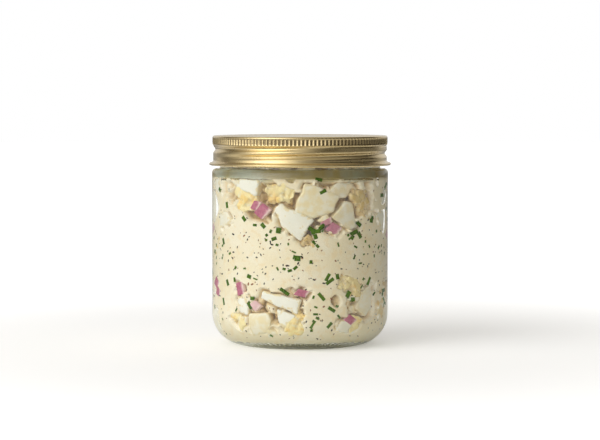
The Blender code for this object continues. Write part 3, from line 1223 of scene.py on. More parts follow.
@dataclass(frozen=True)
class Spot:
    """Where a piece of food presses against the glass.

    Attributes:
        azimuth: Degrees round the jar.
        height: The height of its middle, in millimetres.
        width: Its width, in millimetres.
        tall: How tall it is, in millimetres.
        turn: Degrees that it is turned clockwise, as seen from outside.
        swing: Degrees that its right side swings in from the glass.
        coat: The share of it that dressing coats; on yolk it also sets how much painted shade it takes.
        back: How far behind the glass it lies, in millimetres.
        corners: Its outline as (right, up) corners in millimetres, or nothing for a drawn one.
    """

    azimuth: float
    height: float
    width: float
    tall: float
    turn: float = 0.0
    swing: float = 0.0
    coat: float = 0.0
    back: float = 0.0
    corners: Corners = ()


@dataclass(frozen=True)
class Patch:
    """An oval on the inner face where the dressing presses to the glass or leaves it.

    Attributes:
        azimuth: Degrees round the jar.
        height: The height of its middle, in millimetres.
        width: Its half width, in millimetres.
        tall: Half its height, in millimetres.
        turn: Degrees that it is turned clockwise, as seen from outside.
        push: Above 0 presses the dressing to the glass, and below 0 hollows it.
    """

    azimuth: float
    height: float
    width: float
    tall: float
    turn: float
    push: float


# The large pieces in front. Places read in the photograph are columns and rows of it.
# The others are given as azimuth and height.

FRONT_WHITES = (
    Spot(*seen(across=293, down=221), 19, 18, coat=0.1, corners=(
        (-9.2, 5.9), (-6.6, 8.5), (10.4, 0.4), (3.8, -10.0), (-5.6, -3.2))),
    Spot(*seen(across=319, down=198), 23, 17, coat=0.8, corners=(
        (-12.0, -6.5), (-10.4, -1.3), (-6.5, 7.2), (0.5, 5.3), (11.2, 0.7), (7.2, -7.1), (-3.2, -10.1))),
    Spot(-37.2, 81.0, 15, 10, corners=((-7.3, -0.5), (-5.4, 4.2), (7.0, 3.2), (5.2, -4.9), (3.4, -4.7))),
    Spot(*seen(across=350, down=215), 16, 15, swing=6, coat=0.75, back=0.7, corners=(
        (-10.4, -0.8), (-1.7, 7.0), (2.3, 5.7), (6.3, -6.7), (1.5, -8.3))),
    Spot(17.4, 65.6, 7, 6, coat=0.8, back=0.3, corners=(
        (-4.2, -1.6), (-0.2, 3.4), (3.8, -1.2), (1.0, -3.2))),
    Spot(*seen(across=347, down=188), 16, 9, swing=6, coat=0.8, back=1.6, corners=(
        (-9.9, -1.0), (-3.7, 3.5), (6.8, 1.9), (4.1, -1.0), (1.0, -5.6), (-6.8, -4.3))),
    Spot(24.0, 86.5, 10, 6, swing=10, coat=0.3, back=1.0),
    Spot(*seen(across=240, down=305), 8, 10, corners=(
        (-2.5, 4.3), (4.2, 3.3), (5.1, -5.1), (-0.2, -4.5))),
    Spot(*seen(across=279, down=303), 20, 11, corners=(
        (-8.6, 5.2), (10.8, 1.3), (9.2, -5.9), (-0.5, -2.3), (-9.9, 1.9))),
    Spot(*seen(across=282, down=317), 10, 10, swing=-4, corners=(
        (-2.8, 3.2), (6.6, 0.7), (0.9, -6.5), (-2.4, -2.6))),
    Spot(*seen(across=367, down=302), 11, 16, swing=5, coat=0.5, corners=(
        (-7.6, -2.8), (-3.5, 5.0), (3.6, 8.3), (4.2, -4.1), (-1.4, -7.7))),
    Spot(*seen(across=257, down=325), 12, 12, turn=20, coat=0.75),
    Spot(*seen(across=224, down=219), 11, 8, turn=-10, coat=0.35),
    Spot(31.0, 12.0, 7, 7, turn=30, coat=0.2),
    Spot(-20.0, 9.5, 8, 6, turn=10, coat=0.45),
)
FRONT_YOLKS = (
    Spot(-39.6, 74.2, 12.6, 10.0, turn=10),
    Spot(-17.0, 78.4, 9.0, 8.4, turn=-8, coat=0.2),
    Spot(-9.6, 78.0, 8.4, 9.0, turn=24),
    Spot(44.5, 75.0, 9.5, 8.5, turn=10, coat=0.6, back=0.5),
    Spot(50.5, 69.4, 9.0, 9.0, turn=30, coat=0.6, back=0.3),
    Spot(31.0, 33.0, 7.5, 8.5, turn=20, coat=0.15),
    Spot(38.0, 31.5, 8.4, 9.8, turn=-10, coat=0.3),
    Spot(*seen_box(across=238, down=323, wide=14, high=16.2)),
    Spot(*seen_box(across=297, down=325, wide=14.7, high=26), turn=25),
    Spot(41.0, 13.0, 9.0, 7.0),
    Spot(4.6, 54.4, 6.4, 5.0, coat=0.7),
)
FRONT_ONIONS = (
    Spot(*seen(across=262.5, down=211), 5.4, 6.6, turn=35),
    Spot(-30.5, 71.6, 4.0, 4.6, turn=20),
    Spot(*seen(across=334.5, down=229), 6.6, 4.8, turn=28, back=0.5),
    Spot(17.6, 63.4, 5.4, 3.0, turn=-20, coat=0.3),
    Spot(*seen(across=240, down=289.5), 4.4, 6.0, turn=-12),
    Spot(*seen(across=302, down=294), 5.9, 3.7, turn=16),
    Spot(*seen(across=351, down=321), 5.2, 4.2, turn=40),
    Spot(*seen(across=218, down=292), 4.4, 4.0, turn=20),
    Spot(*seen_box(across=255, down=306.8, wide=8, high=8), turn=40, coat=0.9),
)
FRONT_CHIVES = (
    Spot(*seen(across=323, down=192), 3.3, 2.0, turn=-25),
    Spot(*seen(across=278.5, down=231), 2.4, 3.2, turn=8),
    Spot(*seen(across=274, down=239), 2.6, 1.8, turn=-20),
    Spot(*seen(across=227, down=205), 3.0, 2.0, turn=80),
    Spot(*seen(across=244, down=219), 2.8, 2.0, turn=50),
    Spot(*seen(across=223.5, down=241.5), 3.2, 1.8, turn=70),
    Spot(*seen(across=263, down=226), 2.8, 2.0, turn=45),
    Spot(*seen(across=297.5, down=259), 2.8, 3.4, turn=5),
    Spot(*seen(across=316, down=232), 4.6, 2.2, turn=-12),
    Spot(*seen(across=359, down=224), 3.2, 2.0, turn=40),
    Spot(*seen(across=372, down=219.5), 3.4, 2.0, turn=-75),
    Spot(*seen(across=284.5, down=292.5), 5.2, 1.8, turn=35),
    Spot(*seen(across=321.5, down=297.5), 4.6, 1.8, turn=50),
    Spot(*seen(across=331.7, down=310.4), 4.0, 1.8, turn=32),
    Spot(*seen(across=348.5, down=295), 3.4, 2.4, turn=-55),
    Spot(*seen_box(across=353, down=300, wide=4, high=4.5), turn=0),
    Spot(*seen(across=249, down=277), 2.4, 2.2, turn=20),
    Spot(*seen(across=227.5, down=283), 3.2, 2.0, turn=65),
    Spot(*seen(across=249.5, down=306.5), 3.2, 2.0, turn=55),
    Spot(*seen(across=252, down=299), 2.2, 1.8, turn=0),
    Spot(*seen(across=223.5, down=302), 3.6, 1.6, turn=75),
    Spot(*seen(across=313, down=325.5), 4.2, 1.5, turn=-60),
    Spot(*seen(across=330, down=326), 3.2, 1.7, turn=-50),
    Spot(*seen(across=369, down=281.5), 4.2, 1.7, turn=-60),
    Spot(*seen_box(across=330, down=282, wide=9, high=3.7), turn=-35),
    Spot(12.6, 84.6, 3.4, 1.8, turn=15),
    Spot(7.6, 60.4, 3.6, 2.0, turn=30),
    Spot(14.4, 61.6, 3.4, 1.9, turn=-50),
    Spot(10.2, 56.8, 2.4, 2.0, turn=70),
    Spot(38.5, 58.2, 4.4, 2.0, turn=-20),
    Spot(43.0, 56.8, 3.2, 2.2, turn=60),
    Spot(18.4, 36.8, 4.0, 1.7, turn=-60),
    Spot(25.4, 37.0, 2.6, 1.8, turn=80),
)
FRONT_PATCHES = (
    Patch(-52, 44, 22, 22, 0, 1.2),
    Patch(-40, 58, 12, 8, 20, 0.9),
    Patch(0, 45, 30, 11, 0, 1.2),
    Patch(45, 50, 18, 14, 0, 1.2),
    Patch(60, 60, 8, 14, 0, 0.8),
    Patch(14, 22, 10, 17, -6, 1.3),
    Patch(-58, 22, 5, 14, 0, 0.6),
    Patch(31, 36, 7, 4, -20, -1.5),
    Patch(24.5, 25, 2.6, 3.4, 0, -1.5),
    Patch(-3.5, 19, 2.4, 6.5, -20, -1.6),
    Patch(-80, 48, 9, 36, 0, 0.8),
    Patch(80, 48, 9, 36, 0, 0.8),
    Patch(-52, 68, 12, 8, 0, 0.7),
    Patch(12, 64, 9, 3.0, 20, -1.2),
    Patch(4, 57, 4.0, 3.4, 0, -1.4),
    Patch(-22, 70, 3.4, 6, 20, -1.2),
    Patch(23, 70, 3.0, 5.0, 30, -1.0),
    Patch(-34, 66, 7, 3.4, 25, -0.5),
    Patch(72, 72, 11, 13, 0, 0.7),
    Patch(70, 20, 10, 14, 0, 0.7),
    Patch(-74, 70, 9, 13, 0, 0.7),
    Patch(-76, 20, 9, 14, 0, 0.7),
)
FRONT_EDGE = 66.0

ZONES = ((9.0, 33.0, 0.46), (33.0, 58.0, 0.06), (58.0, 83.0, 0.48))


class Crowd:
    """Hands out places round the rest of the jar, so that no two large pieces lie on each other."""

    def __init__(self, jar: GlassJar, draw: random.Random) -> None:
        """Starts with no place taken.

        Args:
            jar: The jar, for its size.
            draw: The source of drawn numbers.
        """
        self.radius = jar.body_radius - jar.wall
        self.draw = draw
        self.taken: list[tuple[float, float, float]] = []

    def keep(self, spot: Spot) -> None:
        """Notes a place as taken."""
        self.taken.append((spot.azimuth, spot.height, (spot.width + spot.tall) / 4))

    def free(self, azimuth: float, height: float, size: float) -> bool:
        """Whether a place is free.

        Args:
            azimuth: Degrees round the jar.
            height: Its height, in millimetres.
            size: The new piece's radius, in millimetres.

        Returns:
            True if no kept piece is too near.
        """
        for other_azimuth, other_height, other_size in self.taken:
            apart = (azimuth - other_azimuth + 180.0) % 360.0 - 180.0
            across = math.radians(apart) * self.radius / MM
            if math.hypot(across, height - other_height) < (size + other_size) * 0.86:
                return False
        return True

    def place(self, count: int, width: tuple[float, float], tall: tuple[float, float]) -> list[Spot]:
        """Draws places for one kind of piece outside the front.

        Args:
            count: How many to place.
            width: The least and greatest width, in millimetres.
            tall: The least and greatest height of a piece, in millimetres.

        Returns:
            The places found.
        """
        found: list[Spot] = []
        for _ in range(count * 60):
            if len(found) == count:
                break
            low, high, _ = self.draw.choices(ZONES, [zone[2] for zone in ZONES])[0]
            azimuth = self.draw.uniform(FRONT_EDGE, 360.0 - FRONT_EDGE)
            height = self.draw.uniform(low, high)
            size = (self.draw.uniform(*width), self.draw.uniform(*tall))
            turn = self.draw.uniform(-50.0, 50.0)
            if not self.free(azimuth, height, (size[0] + size[1]) / 4):
                continue
            coat = self.draw.choice((0.0, 0.15, 0.4, 0.75))
            spot = Spot(azimuth, height, *size, turn, self.draw.uniform(-5, 7), coat)
            self.keep(spot)
            found.append(spot)
        return found


def distance_to_outline(points: np.ndarray, corners: Sequence[tuple[float, float]]) -> np.ndarray:
    """Distances from points to an outline's edge.

    Args:
        points: (right, up) points, one row each.
        corners: The outline's corners, in the same unit.

    Returns:
        The distances, below 0 inside the outline.
    """
    nearest = np.full(len(points), np.inf)
    inside = np.zeros(len(points), bool)
    for (x0, y0), (x1, y1) in pairwise([*corners, corners[0]]):
        run = np.array((x1 - x0, y1 - y0))
        offset = points - (x0, y0)
        share = np.clip(offset @ run / (run @ run), 0.0, 1.0)
        gap = offset - share[:, None] * run
        nearest = np.minimum(nearest, np.hypot(gap[:, 0], gap[:, 1]))
        crosses = (y0 > points[:, 1]) != (y1 > points[:, 1])
        at = x0 + (points[:, 1] - y0) * (x1 - x0) / (y1 - y0 if y1 != y0 else 1.0)
        inside ^= crosses & (points[:, 0] < at)
    return np.where(inside, -nearest, nearest)


@dataclass
class Dressing:
    """The dressing: a thick coat that presses to the glass in sheets and leaves it in hollows.

    Attributes:
        jar: The jar that it fills.
        top: The height of its top.
        chunks: The outlines of the pieces that break through it, each with its place.
        crumbled: The places of the yolk, which it laps over in an uneven line.
        patches: Where it presses to the glass or leaves it.
        columns: The number of columns round it.
        full_depth: The deepest that it is hollowed.
        hollow_size: The size of its hollows.
        detail_size: The size of the finer form on them.
        lump_size: The size of the lumps on its surface.
        die_size: The size of the coated dice that show as its form.
        bend_size: The size of the bends in those dice's edges.
        crease: How wide the creases between them are, as a share of their size.
        moat_depth: How deep it is hollowed round a piece, in millimetres.
        moat_width: How far out from the piece that reaches, in millimetres.
        under_piece: How deep it lies behind a piece, in millimetres.
        lap_depth: How deep it is hollowed round yolk, in millimetres.
        heel_line: The height up to which it presses to the glass at the heel, in millimetres.
        heel_rise: How much higher its hollows reach their depth, in millimetres.
        foot_line: The height up to which it stands off the glass under the heel, in millimetres.
        foot_gap: How far it stands off there, in millimetres.
        shoulder_band: The least and greatest height that the shoulder hides, in millimetres.
        flanks: The least and greatest azimuth, either side, where it presses to the glass.
        zone_heights: Heights, in millimetres, between which its zones lie.
        zone_press: How much it presses to the glass at each of those heights.
    """

    jar: GlassJar
    top: float
    chunks: list[tuple[Spot, Corners]]
    crumbled: list[Spot]
    patches: tuple[Patch, ...]
    columns: int = 400
    full_depth: float = 6.0 * MM
    hollow_size: float = 7.0 * MM
    detail_size: float = 2.6 * MM
    lump_size: float = 3.2 * MM
    die_size: float = 6.4 * MM
    bend_size: float = 3.4 * MM
    crease: float = 0.42
    moat_depth: float = 3.4
    moat_width: float = 1.2
    under_piece: float = 1.6
    lap_depth: float = 3.6
    heel_line: float = 8.5
    heel_rise: float = 5.0
    foot_line: float = 5.8
    foot_gap: float = 0.6
    shoulder_band: tuple[float, float] = (84.3, 89.0)
    flanks: tuple[float, float] = (61.0, 88.0)
    zone_heights: tuple[float, ...] = (6, 11.5, 16, 30, 37, 57, 64, 81, 84, 94)
    zone_press: tuple[float, ...] = (0.7, 0.6, -0.16, -0.12, 0.85, 0.85, -0.24, -0.3, -0.1, -0.1)

    def local(self, azimuth: np.ndarray, height: np.ndarray, spot: Spot | Patch) -> np.ndarray:
        """Places near a spot, as (right, up) millimetres from its middle, in its own turn.

        Args:
            azimuth: Degrees round the jar.
            height: Heights, in millimetres.
            spot: The spot to measure from.

        Returns:
            The (right, up) places, one row each.
        """
        apart = (azimuth - spot.azimuth + 180.0) % 360.0 - 180.0
        right = np.radians(apart) * (self.jar.body_radius - self.jar.wall) / MM
        up = height - spot.height
        turn = math.radians(spot.turn)
        return np.column_stack(
            (right * math.cos(turn) - up * math.sin(turn), right * math.sin(turn) + up * math.cos(turn))
        )

    def depths(self, azimuth: np.ndarray, along: np.ndarray) -> np.ndarray:
        """How far the dressing's surface is from the glass.

        Args:
            azimuth: Degrees round the jar.
            along: Lengths up the inner face.

        Returns:
            The depth at each place, 0 where it presses to the glass.
        """
        height = self.jar.height(along) / MM
        places = self.jar.places(azimuth, along, np.zeros(len(azimuth)))
        press_there = np.interp(height, self.zone_heights, self.zone_press)
        for patch in self.patches:
            near = self.local(azimuth, height, patch)
            reach = (near[:, 0] / patch.width) ** 2 + (near[:, 1] / patch.tall) ** 2
            press_there = press_there + patch.push * np.exp(-(reach**1.6))
        hollows, lumps, creases, setbacks = np.empty((4, len(azimuth)))
        for k, place in enumerate(places):
            here = Vector(place)
            detail = 0.35 * noise.noise(here / self.detail_size)
            hollows[k] = noise.noise(here / self.hollow_size) + detail
            lumps[k] = noise.noise(here / self.lump_size + Vector((9.0, 4.0, 1.0)))
            bent = here / self.die_size + 0.22 * noise.noise_vector(here / self.bend_size)
            apart, middles = noise.voronoi(bent)
            creases[k] = apart[1] - apart[0]
            setbacks[k] = abs(noise.cell(middles[0] * 3.7))
        past = np.maximum(hollows - press_there, 0.0)
        dice = 0.6 + 1.6 * setbacks + 3.2 * (1.0 - ease(creases / self.crease)) + 1.0 * (lumps + 0.2)
        depth = (1.0 - np.exp(-past / 0.07)) * np.maximum(dice, 0.3) + 1.4 * past
        across = np.abs((azimuth + 180.0) % 360.0 - 180.0)
        low, high = self.flanks
        open_there = 1.0 - ease((across - low) / 4.0) * ease((high - across) / 4.0)
        depth = depth * open_there
        for spot, corners in self.chunks:
            near = self.local(azimuth, height, spot)
            close = np.flatnonzero(np.hypot(near[:, 0], near[:, 1]) < max(spot.width, spot.tall) + 3.0)
            gap = distance_to_outline(near[close], corners)
            fall = np.exp(-((np.maximum(gap, 0.0) / self.moat_width) ** 2))
            moat = self.moat_depth * fall * ease(lumps[close] * 2.2 + 0.7)
            moat = moat * open_there[close]
            depth[close] = np.where(gap < -0.5, self.under_piece, np.maximum(depth[close], moat))
        for spot in self.crumbled:
            near = self.local(azimuth, height, spot)
            reach = (near[:, 0] / spot.width * 2.2) ** 2 + (near[:, 1] / spot.tall * 2.2) ** 2
            lapped = self.lap_depth * (1.0 - ease((reach + 1.6 * lumps - 0.7) / 0.5))
            depth = np.maximum(depth, lapped * open_there)
        under = ease((self.foot_line + lumps * 0.3 - height) / 0.5) * ease((along / MM - 27.0) / 2.0)
        above_heel = ease((height - self.heel_line) / self.heel_rise)
        depth = np.maximum(depth * above_heel, under * self.foot_gap)
        depth = depth * (1.0 - self.under_shoulder(height))
        return np.clip(depth, 0.0, self.full_depth / MM) * MM

    def under_shoulder(self, height: np.ndarray) -> np.ndarray:
        """How far heights lie in the band that the glass's shoulder hides, from 0 to 1."""
        low, high = self.shoulder_band
        return ease((height - low) / 0.5) * ease((high - height) / 0.5)

    def build(self) -> bpy.types.Object:
        """Turns the dressing just into the glass and hollows it.

        Returns:
            The dressing.
        """
        jar = self.jar
        steps = ((12, jar.along(jar.floor_top + 0.01 * MM)), (38, jar.along(17.0 * MM)))
        steps += ((147, jar.along(jar.shoulder_low)), (14, jar.along(jar.shoulder_high)))
        steps += ((12, jar.along(self.top - 1.2 * MM)),)
        rows = [0.0]
        for count, end in steps:
            rows += list(np.linspace(rows[-1], end, count + 1)[1:])
        along = np.array(rows)
        into = np.full(len(along), -Reach.DRESSING.value)
        edge = jar.places(np.full(len(along), 90.0), along, into)
        section = [(float(radius), float(height)) for radius, _, height in edge[::-1]]
        section[-1] = (0.0, section[-1][1])
        shoulder = section[0]
        dome = [(shoulder[0] * s, self.top - 1.2 * MM * s * s) for s in (0.0, 0.3, 0.6, 0.85, 0.97)]
        dressing = turned("dressing", dome + section, self.columns)
        points = coordinates(dressing.data)
        azimuth = np.degrees(np.arctan2(points[:, 0], -points[:, 1]))
        radius = np.hypot(points[:, 0], points[:, 1])
        order = np.argsort(edge[:, 2], kind="stable")
        on_side = points[:, 2] < self.top - 1.25 * MM
        up = np.interp(points[:, 2], edge[order, 2], along[order])
        floor_like = points[:, 2] < jar.floor_top
        up = np.where(floor_like, np.minimum(radius, along[12]), up)
        depth = np.zeros(len(points))
        chosen = np.flatnonzero(on_side & (radius > 0.5 * MM))
        depth[chosen] = self.depths(azimuth[chosen], up[chosen])
        press(dressing, "hollows", self.full_depth, depth / self.full_depth)
        # The recess mark sets the painted shade in the dressing's material.
        mark(dressing.data, "recess", np.clip(depth / self.full_depth, 0.0, 1.0))
        # Marks the band under the glass's shoulder, which the material paints with shade and reflection.
        mark(dressing.data, "shoulder", self.under_shoulder(points[:, 2] / MM))
        smooth(dressing, 85.0)
        return dressing


@dataclass
class DicedPieces:
    """Knife-cut dice of one kind, each pressed flat against the glass.

    Attributes:
        name: The name of the joined piece.
        jar: The jar.
        reach: How far the dice reach into the glass.
        thickness: How thick the dice are.
        round_edge: The radius of their softened edges.
        grid: The spacing of the cuts that let a face follow the glass.
        waver: How far the outline strays from straight cuts.
        waver_size: How long its bends are.
        smeared_rim: How wide the rim is that dressing laps over, in millimetres.
        side_shade_depth: How far in from the glass its sides take on their full painted shade.
    """

    name: str
    jar: GlassJar
    reach: Reach
    thickness: float
    round_edge: float
    grid: float
    waver: float = 0.7 * MM
    waver_size: float = 5.0 * MM
    smeared_rim: float = 2.0
    side_shade_depth: float = 3.0 * MM

    @staticmethod
    def drawn_corners(spot: Spot, draw: random.Random) -> Corners:
        """Draws an uneven four or five sided outline.

        Args:
            spot: The piece's place and size.
            draw: The source of drawn numbers.

        Returns:
            The outline's (right, up) corners, in millimetres, anticlockwise.
        """
        count = draw.choice((3, 4, 4, 5))
        start = draw.uniform(0.0, 90.0)
        corners = []
        for k in range(count):
            angle = math.radians(start + 360.0 * k / count + draw.uniform(-16.0, 16.0))
            length = draw.uniform(0.5, 0.74)
            corners.append((math.cos(angle) * spot.width * length, math.sin(angle) * spot.tall * length))
        (x0, y0), (x1, y1) = corners[-1], corners[0]
        bulge = draw.uniform(0.0, 0.22)
        if spot.width > 8.0:
            for share in (0.2, 0.4, 0.6, 0.8):
                out = bulge * math.sin(math.pi * share)
                right = x0 + (x1 - x0) * share + (y1 - y0) * out
                corners.append((right, y0 + (y1 - y0) * share - (x1 - x0) * out))
        return tuple(corners)

    def cut(self, spot: Spot, corners: Corners) -> bpy.types.Object:
        """Models one die flat and wraps it onto the glass.

        Args:
            spot: Its place.
            corners: Its outline.

        Returns:
            The die.
        """
        bpy.ops.object.select_all(action="DESELECT")
        bpy.ops.mesh.primitive_circle_add(vertices=len(corners), radius=MM, fill_type="NGON")
        die = bpy.context.object
        turn = math.radians(spot.turn)
        for vertex, (right, up) in zip(die.data.vertices, corners):
            vertex.co = (
                (right * math.cos(turn) + up * math.sin(turn)) * MM,
                0.0,
                (up * math.cos(turn) - right * math.sin(turn)) * MM,
            )
        with editing(die):
            bpy.ops.mesh.extrude_region_move(
                TRANSFORM_OT_translate={"value": (0.0, self.thickness, 0.0)}
            )
            bpy.ops.mesh.select_all(action="SELECT")
            bpy.ops.mesh.normals_make_consistent(inside=False)
        soften = die.modifiers.new("Soften", "BEVEL")
        soften.width = self.round_edge
        soften.segments = 2
        apply_modifiers(die)
        points = coordinates(die.data)
        with editing(die):
            for axis in (0, 2):
                low, high = points[:, axis].min(), points[:, axis].max()
                normal = (1.0, 0.0, 0.0) if axis == 0 else (0.0, 0.0, 1.0)
                for at in np.arange(low + self.grid, high - self.grid / 2, self.grid):
                    bpy.ops.mesh.select_all(action="SELECT")
                    bpy.ops.mesh.bisect(plane_co=tuple(n * float(at) for n in normal), plane_no=normal)
        points = coordinates(die.data)
        self.describe(die, spot, points)
        unturned = np.column_stack(
            (
                points[:, 0] * math.cos(turn) - points[:, 2] * math.sin(turn),
                points[:, 0] * math.sin(turn) + points[:, 2] * math.cos(turn),
            )
        )
        inward = -distance_to_outline(unturned / MM, corners) / self.smeared_rim
        mark(die.data, "rim", np.clip(inward, 0.0, 1.0))
        # Marks how far in from the glass each point lies, for the painted shade on the sides.
        mark(die.data, "shaded", ease(points[:, 1] / self.side_shade_depth))
        lean = points[:, 1] + points[:, 0] * math.tan(math.radians(spot.swing)) + spot.back * MM
        points[:, 1] = np.maximum(lean, 0.0) - self.reach.value
        offset = Vector((spot.azimuth, spot.height, 0.0))
        for point in points:
            waver = noise.noise_vector(Vector(point) / self.waver_size + offset) * self.waver
            point[0] += waver.x
            point[2] += waver.z
        move_to(die.data, self.jar.wrap(points, spot.azimuth, self.jar.along(spot.height * MM)))
        return die

    def describe(self, die: bpy.types.Object, spot: Spot, points: np.ndarray) -> None:
        """Marks a die's coat of dressing.

        Args:
            die: The die, still flat.
            spot: Its place.
            points: Its points.
        """
        mark(die.data, "coat", np.full(len(points), spot.coat))

    def build(self, pieces: Sequence[tuple[Spot, Corners]]) -> bpy.types.Object:
        """Cuts all the dice and joins them.

        Args:
            pieces: Each die's place and outline.

        Returns:
            The joined dice.
        """
        joined = join_all([self.cut(spot, corners) for spot, corners in pieces], self.name)
        smooth(joined, 50.0)
        return joined


@dataclass
class OnionDice(DicedPieces):
    """Red onion dice, purple on the skin side with pale cut edges.

    Attributes:
        rim: How wide the step from purple to pale is.
    """

    rim: float = 0.7 * MM

    def describe(self, die: bpy.types.Object, spot: Spot, points: np.ndarray) -> None:
        """Marks how much of the skin's purple shows at each point.

        Args:
            die: The die, still flat.
            spot: Its place.
            points: Its points.
        """
        front = 1.0 - ease(points[:, 1] / (0.5 * self.thickness))
        turn = math.radians(spot.turn)
        right = points[:, 0] * math.cos(turn) - points[:, 2] * math.sin(turn)
        edge = ease((spot.width * MM / 2 * 0.86 - right) / self.rim)
        mark(die.data, "skin", front * edge * (1.0 - 0.75 * spot.coat))


@dataclass
class YolkLumps:
    """Crumbled yolk in lumps, flattened where they press to the glass.

    Attributes:
        jar: The jar.
        thickness: How thick a lump is.
        set_back: How far its middle lies behind the glass, as a share of its thickness.
        broken: How far its broken form goes in and out, in millimetres.
        crumbs: How far its crumbs go in and out, in millimetres.
        broken_size: The size of its broken form.
        crumb_size: The size of its crumbs.
    """

    jar: GlassJar
    thickness: float = 9.5 * MM
    set_back: float = 0.52
    broken: float = 5.6
    crumbs: float = 2.4
    broken_size: float = 5.6 * MM
    crumb_size: float = 3.4 * MM

    def lump(self, spot: Spot, coarse: bpy.types.Texture, fine: bpy.types.Texture) -> bpy.types.Object:
        """Models one lump and wraps it onto the glass.

        Args:
            spot: Its place and size.
            coarse: The texture of its broken form.
            fine: The texture of its crumbs.

        Returns:
            The lump.
        """
        bpy.ops.object.select_all(action="DESELECT")
        bpy.ops.mesh.primitive_cube_add(size=1.0)
        lump = bpy.context.object
        middle = self.jar.places(
            np.array([spot.azimuth]), np.array([self.jar.along(spot.height * MM)]), np.zeros(1)
        )[0]
        with editing(lump):
            bpy.ops.mesh.subdivide(number_cuts=20)
            bpy.ops.transform.tosphere(value=0.35)
            size = (spot.width * MM, self.thickness, spot.tall * MM)
            bpy.ops.transform.resize(value=size, center_override=(0.0, 0.0, 0.0))
            bpy.ops.transform.translate(value=tuple(middle))
        for texture, strength in ((coarse, self.broken * MM), (fine, -self.crumbs * MM)):
            broken = lump.modifiers.new(texture.name, "DISPLACE")
            broken.texture = texture
            broken.strength = strength
            broken.mid_level = 0.5
        apply_modifiers(lump)
        # On yolk the coat mark sets how much painted shade the lump takes.
        mark(lump.data, "coat", np.full(len(lump.data.vertices), spot.coat))
        points = coordinates(lump.data) - middle
        turn = math.radians(spot.turn)
        right = points[:, 0] * math.cos(turn) + points[:, 2] * math.sin(turn)
        up = points[:, 2] * math.cos(turn) - points[:, 0] * math.sin(turn)
        deep = points[:, 1] + self.thickness * self.set_back + spot.back * MM
        deep = np.maximum(deep, -Reach.YOLK.value)
        flat = np.column_stack((right, deep, up))
        move_to(lump.data, self.jar.wrap(flat, spot.azimuth, self.jar.along(spot.height * MM)))
        return lump

    def build(self, spots: Sequence[Spot]) -> bpy.types.Object:
        """Makes all the lumps and joins them.

        Args:
            spots: The lumps' places.

        Returns:
            The joined lumps.
        """
        coarse = bpy.data.textures.new("broken_yolk", "CLOUDS")
        coarse.noise_scale = self.broken_size
        fine = bpy.data.textures.new("yolk_crumbs", "VORONOI")
        fine.noise_scale = self.crumb_size
        joined = join_all([self.lump(spot, coarse, fine) for spot in spots], "egg_yolk")
        smooth(joined, 85.0)
        return joined


@dataclass
class Sprinkle:
    """Many small copies of a few hand-made pieces, joined as one mesh.

    Attributes:
        name: The name of the joined mesh.
        jar: The jar.
        reach: How far the pieces reach into the glass.
        pressed: The share of a piece's half thickness that stays round where it meets the glass.
        points: The points of each copy so far.
        faces: The faces of all copies so far.
        tones: The tone of each copy's points.
        count: The number of points so far.
    """

    name: str
    jar: GlassJar
    reach: Reach
    pressed: float = 0.62
    points: list[np.ndarray] = field(default_factory=list)
    faces: list[tuple[int, ...]] = field(default_factory=list)
    tones: list[np.ndarray] = field(default_factory=list)
    count: int = 0

    def add(self, pattern: bpy.types.Mesh, spot: Spot, depth: float, tone: float) -> None:
        """Adds a copy of a pattern, sized to its spot and set on the glass.

        Args:
            pattern: A mesh one unit wide and tall, its thickness in proportion to its height.
            spot: The copy's place and size.
            depth: How far in from the glass it lies.
            tone: A number from 0 to 1 for its material.
        """
        shape = coordinates(pattern) * (spot.width * MM, spot.tall * MM, spot.tall * MM)
        turn = math.radians(spot.turn)
        right = shape[:, 0] * math.cos(turn) + shape[:, 2] * math.sin(turn)
        up = shape[:, 2] * math.cos(turn) - shape[:, 0] * math.sin(turn)
        deep = np.maximum(shape[:, 1] - shape[:, 1].min() * self.pressed, 0.0)
        deep = deep - self.reach.value + depth
        flat = np.column_stack((right, deep, up))
        self.points.append(self.jar.wrap(flat, spot.azimuth, self.jar.along(spot.height * MM)))
        self.faces += [tuple(v + self.count for v in face.vertices) for face in pattern.polygons]
        self.tones.append(np.full(len(shape), tone))
        self.count += len(shape)

    def build(self) -> bpy.types.Object:
        """Makes one object of all the copies.

        Returns:
            The object.
        """
        mesh = bpy.data.meshes.new(self.name)
        mesh.from_pydata(np.vstack(self.points).tolist(), [], self.faces)
        mark(mesh, "tone", np.concatenate(self.tones))
        obj = bpy.data.objects.new(self.name, mesh)
        bpy.context.scene.collection.objects.link(obj)
        smooth(obj, 50.0)
        return obj


def chive_pattern() -> bpy.types.Mesh:
    """A short hollow cut of chive, one unit long and tall.

    Returns:
        The pattern's mesh.
    """
    bpy.ops.object.select_all(action="DESELECT")
    bpy.ops.mesh.primitive_cylinder_add(
        vertices=10, radius=0.5, depth=1.0, rotation=(0.0, math.pi / 2, 0.0)
    )
    tube = bpy.context.object
    bpy.ops.object.transform_apply(location=True, rotation=True, scale=True)
    with editing(tube) as shape:
        bpy.ops.mesh.select_mode(type="FACE")
        bpy.ops.mesh.select_all(action="DESELECT")
        for face in shape.faces:
            face.select = abs(face.normal.x) > 0.9
        bmesh.update_edit_mesh(tube.data)
        bpy.ops.mesh.inset(thickness=0.12)
        for side in (-1.0, 1.0):
            bpy.ops.mesh.select_all(action="DESELECT")
            for face in shape.faces:
                middle = face.calc_center_median()
                face.select = len(face.verts) == 10 and middle.x * side > 0.4
            bmesh.update_edit_mesh(tube.data)
            bpy.ops.mesh.extrude_region_move(
                TRANSFORM_OT_translate={"value": (-0.22 * side, 0.0, 0.0)}
            )
        bpy.ops.mesh.select_mode(type="VERT")
        bpy.ops.mesh.select_all(action="SELECT")
        bpy.ops.transform.resize(value=(1.0, 0.62, 1.0), center_override=(0.0, 0.0, 0.0))
    mesh = tube.data
    bpy.data.objects.remove(tube, do_unlink=True)
    return mesh


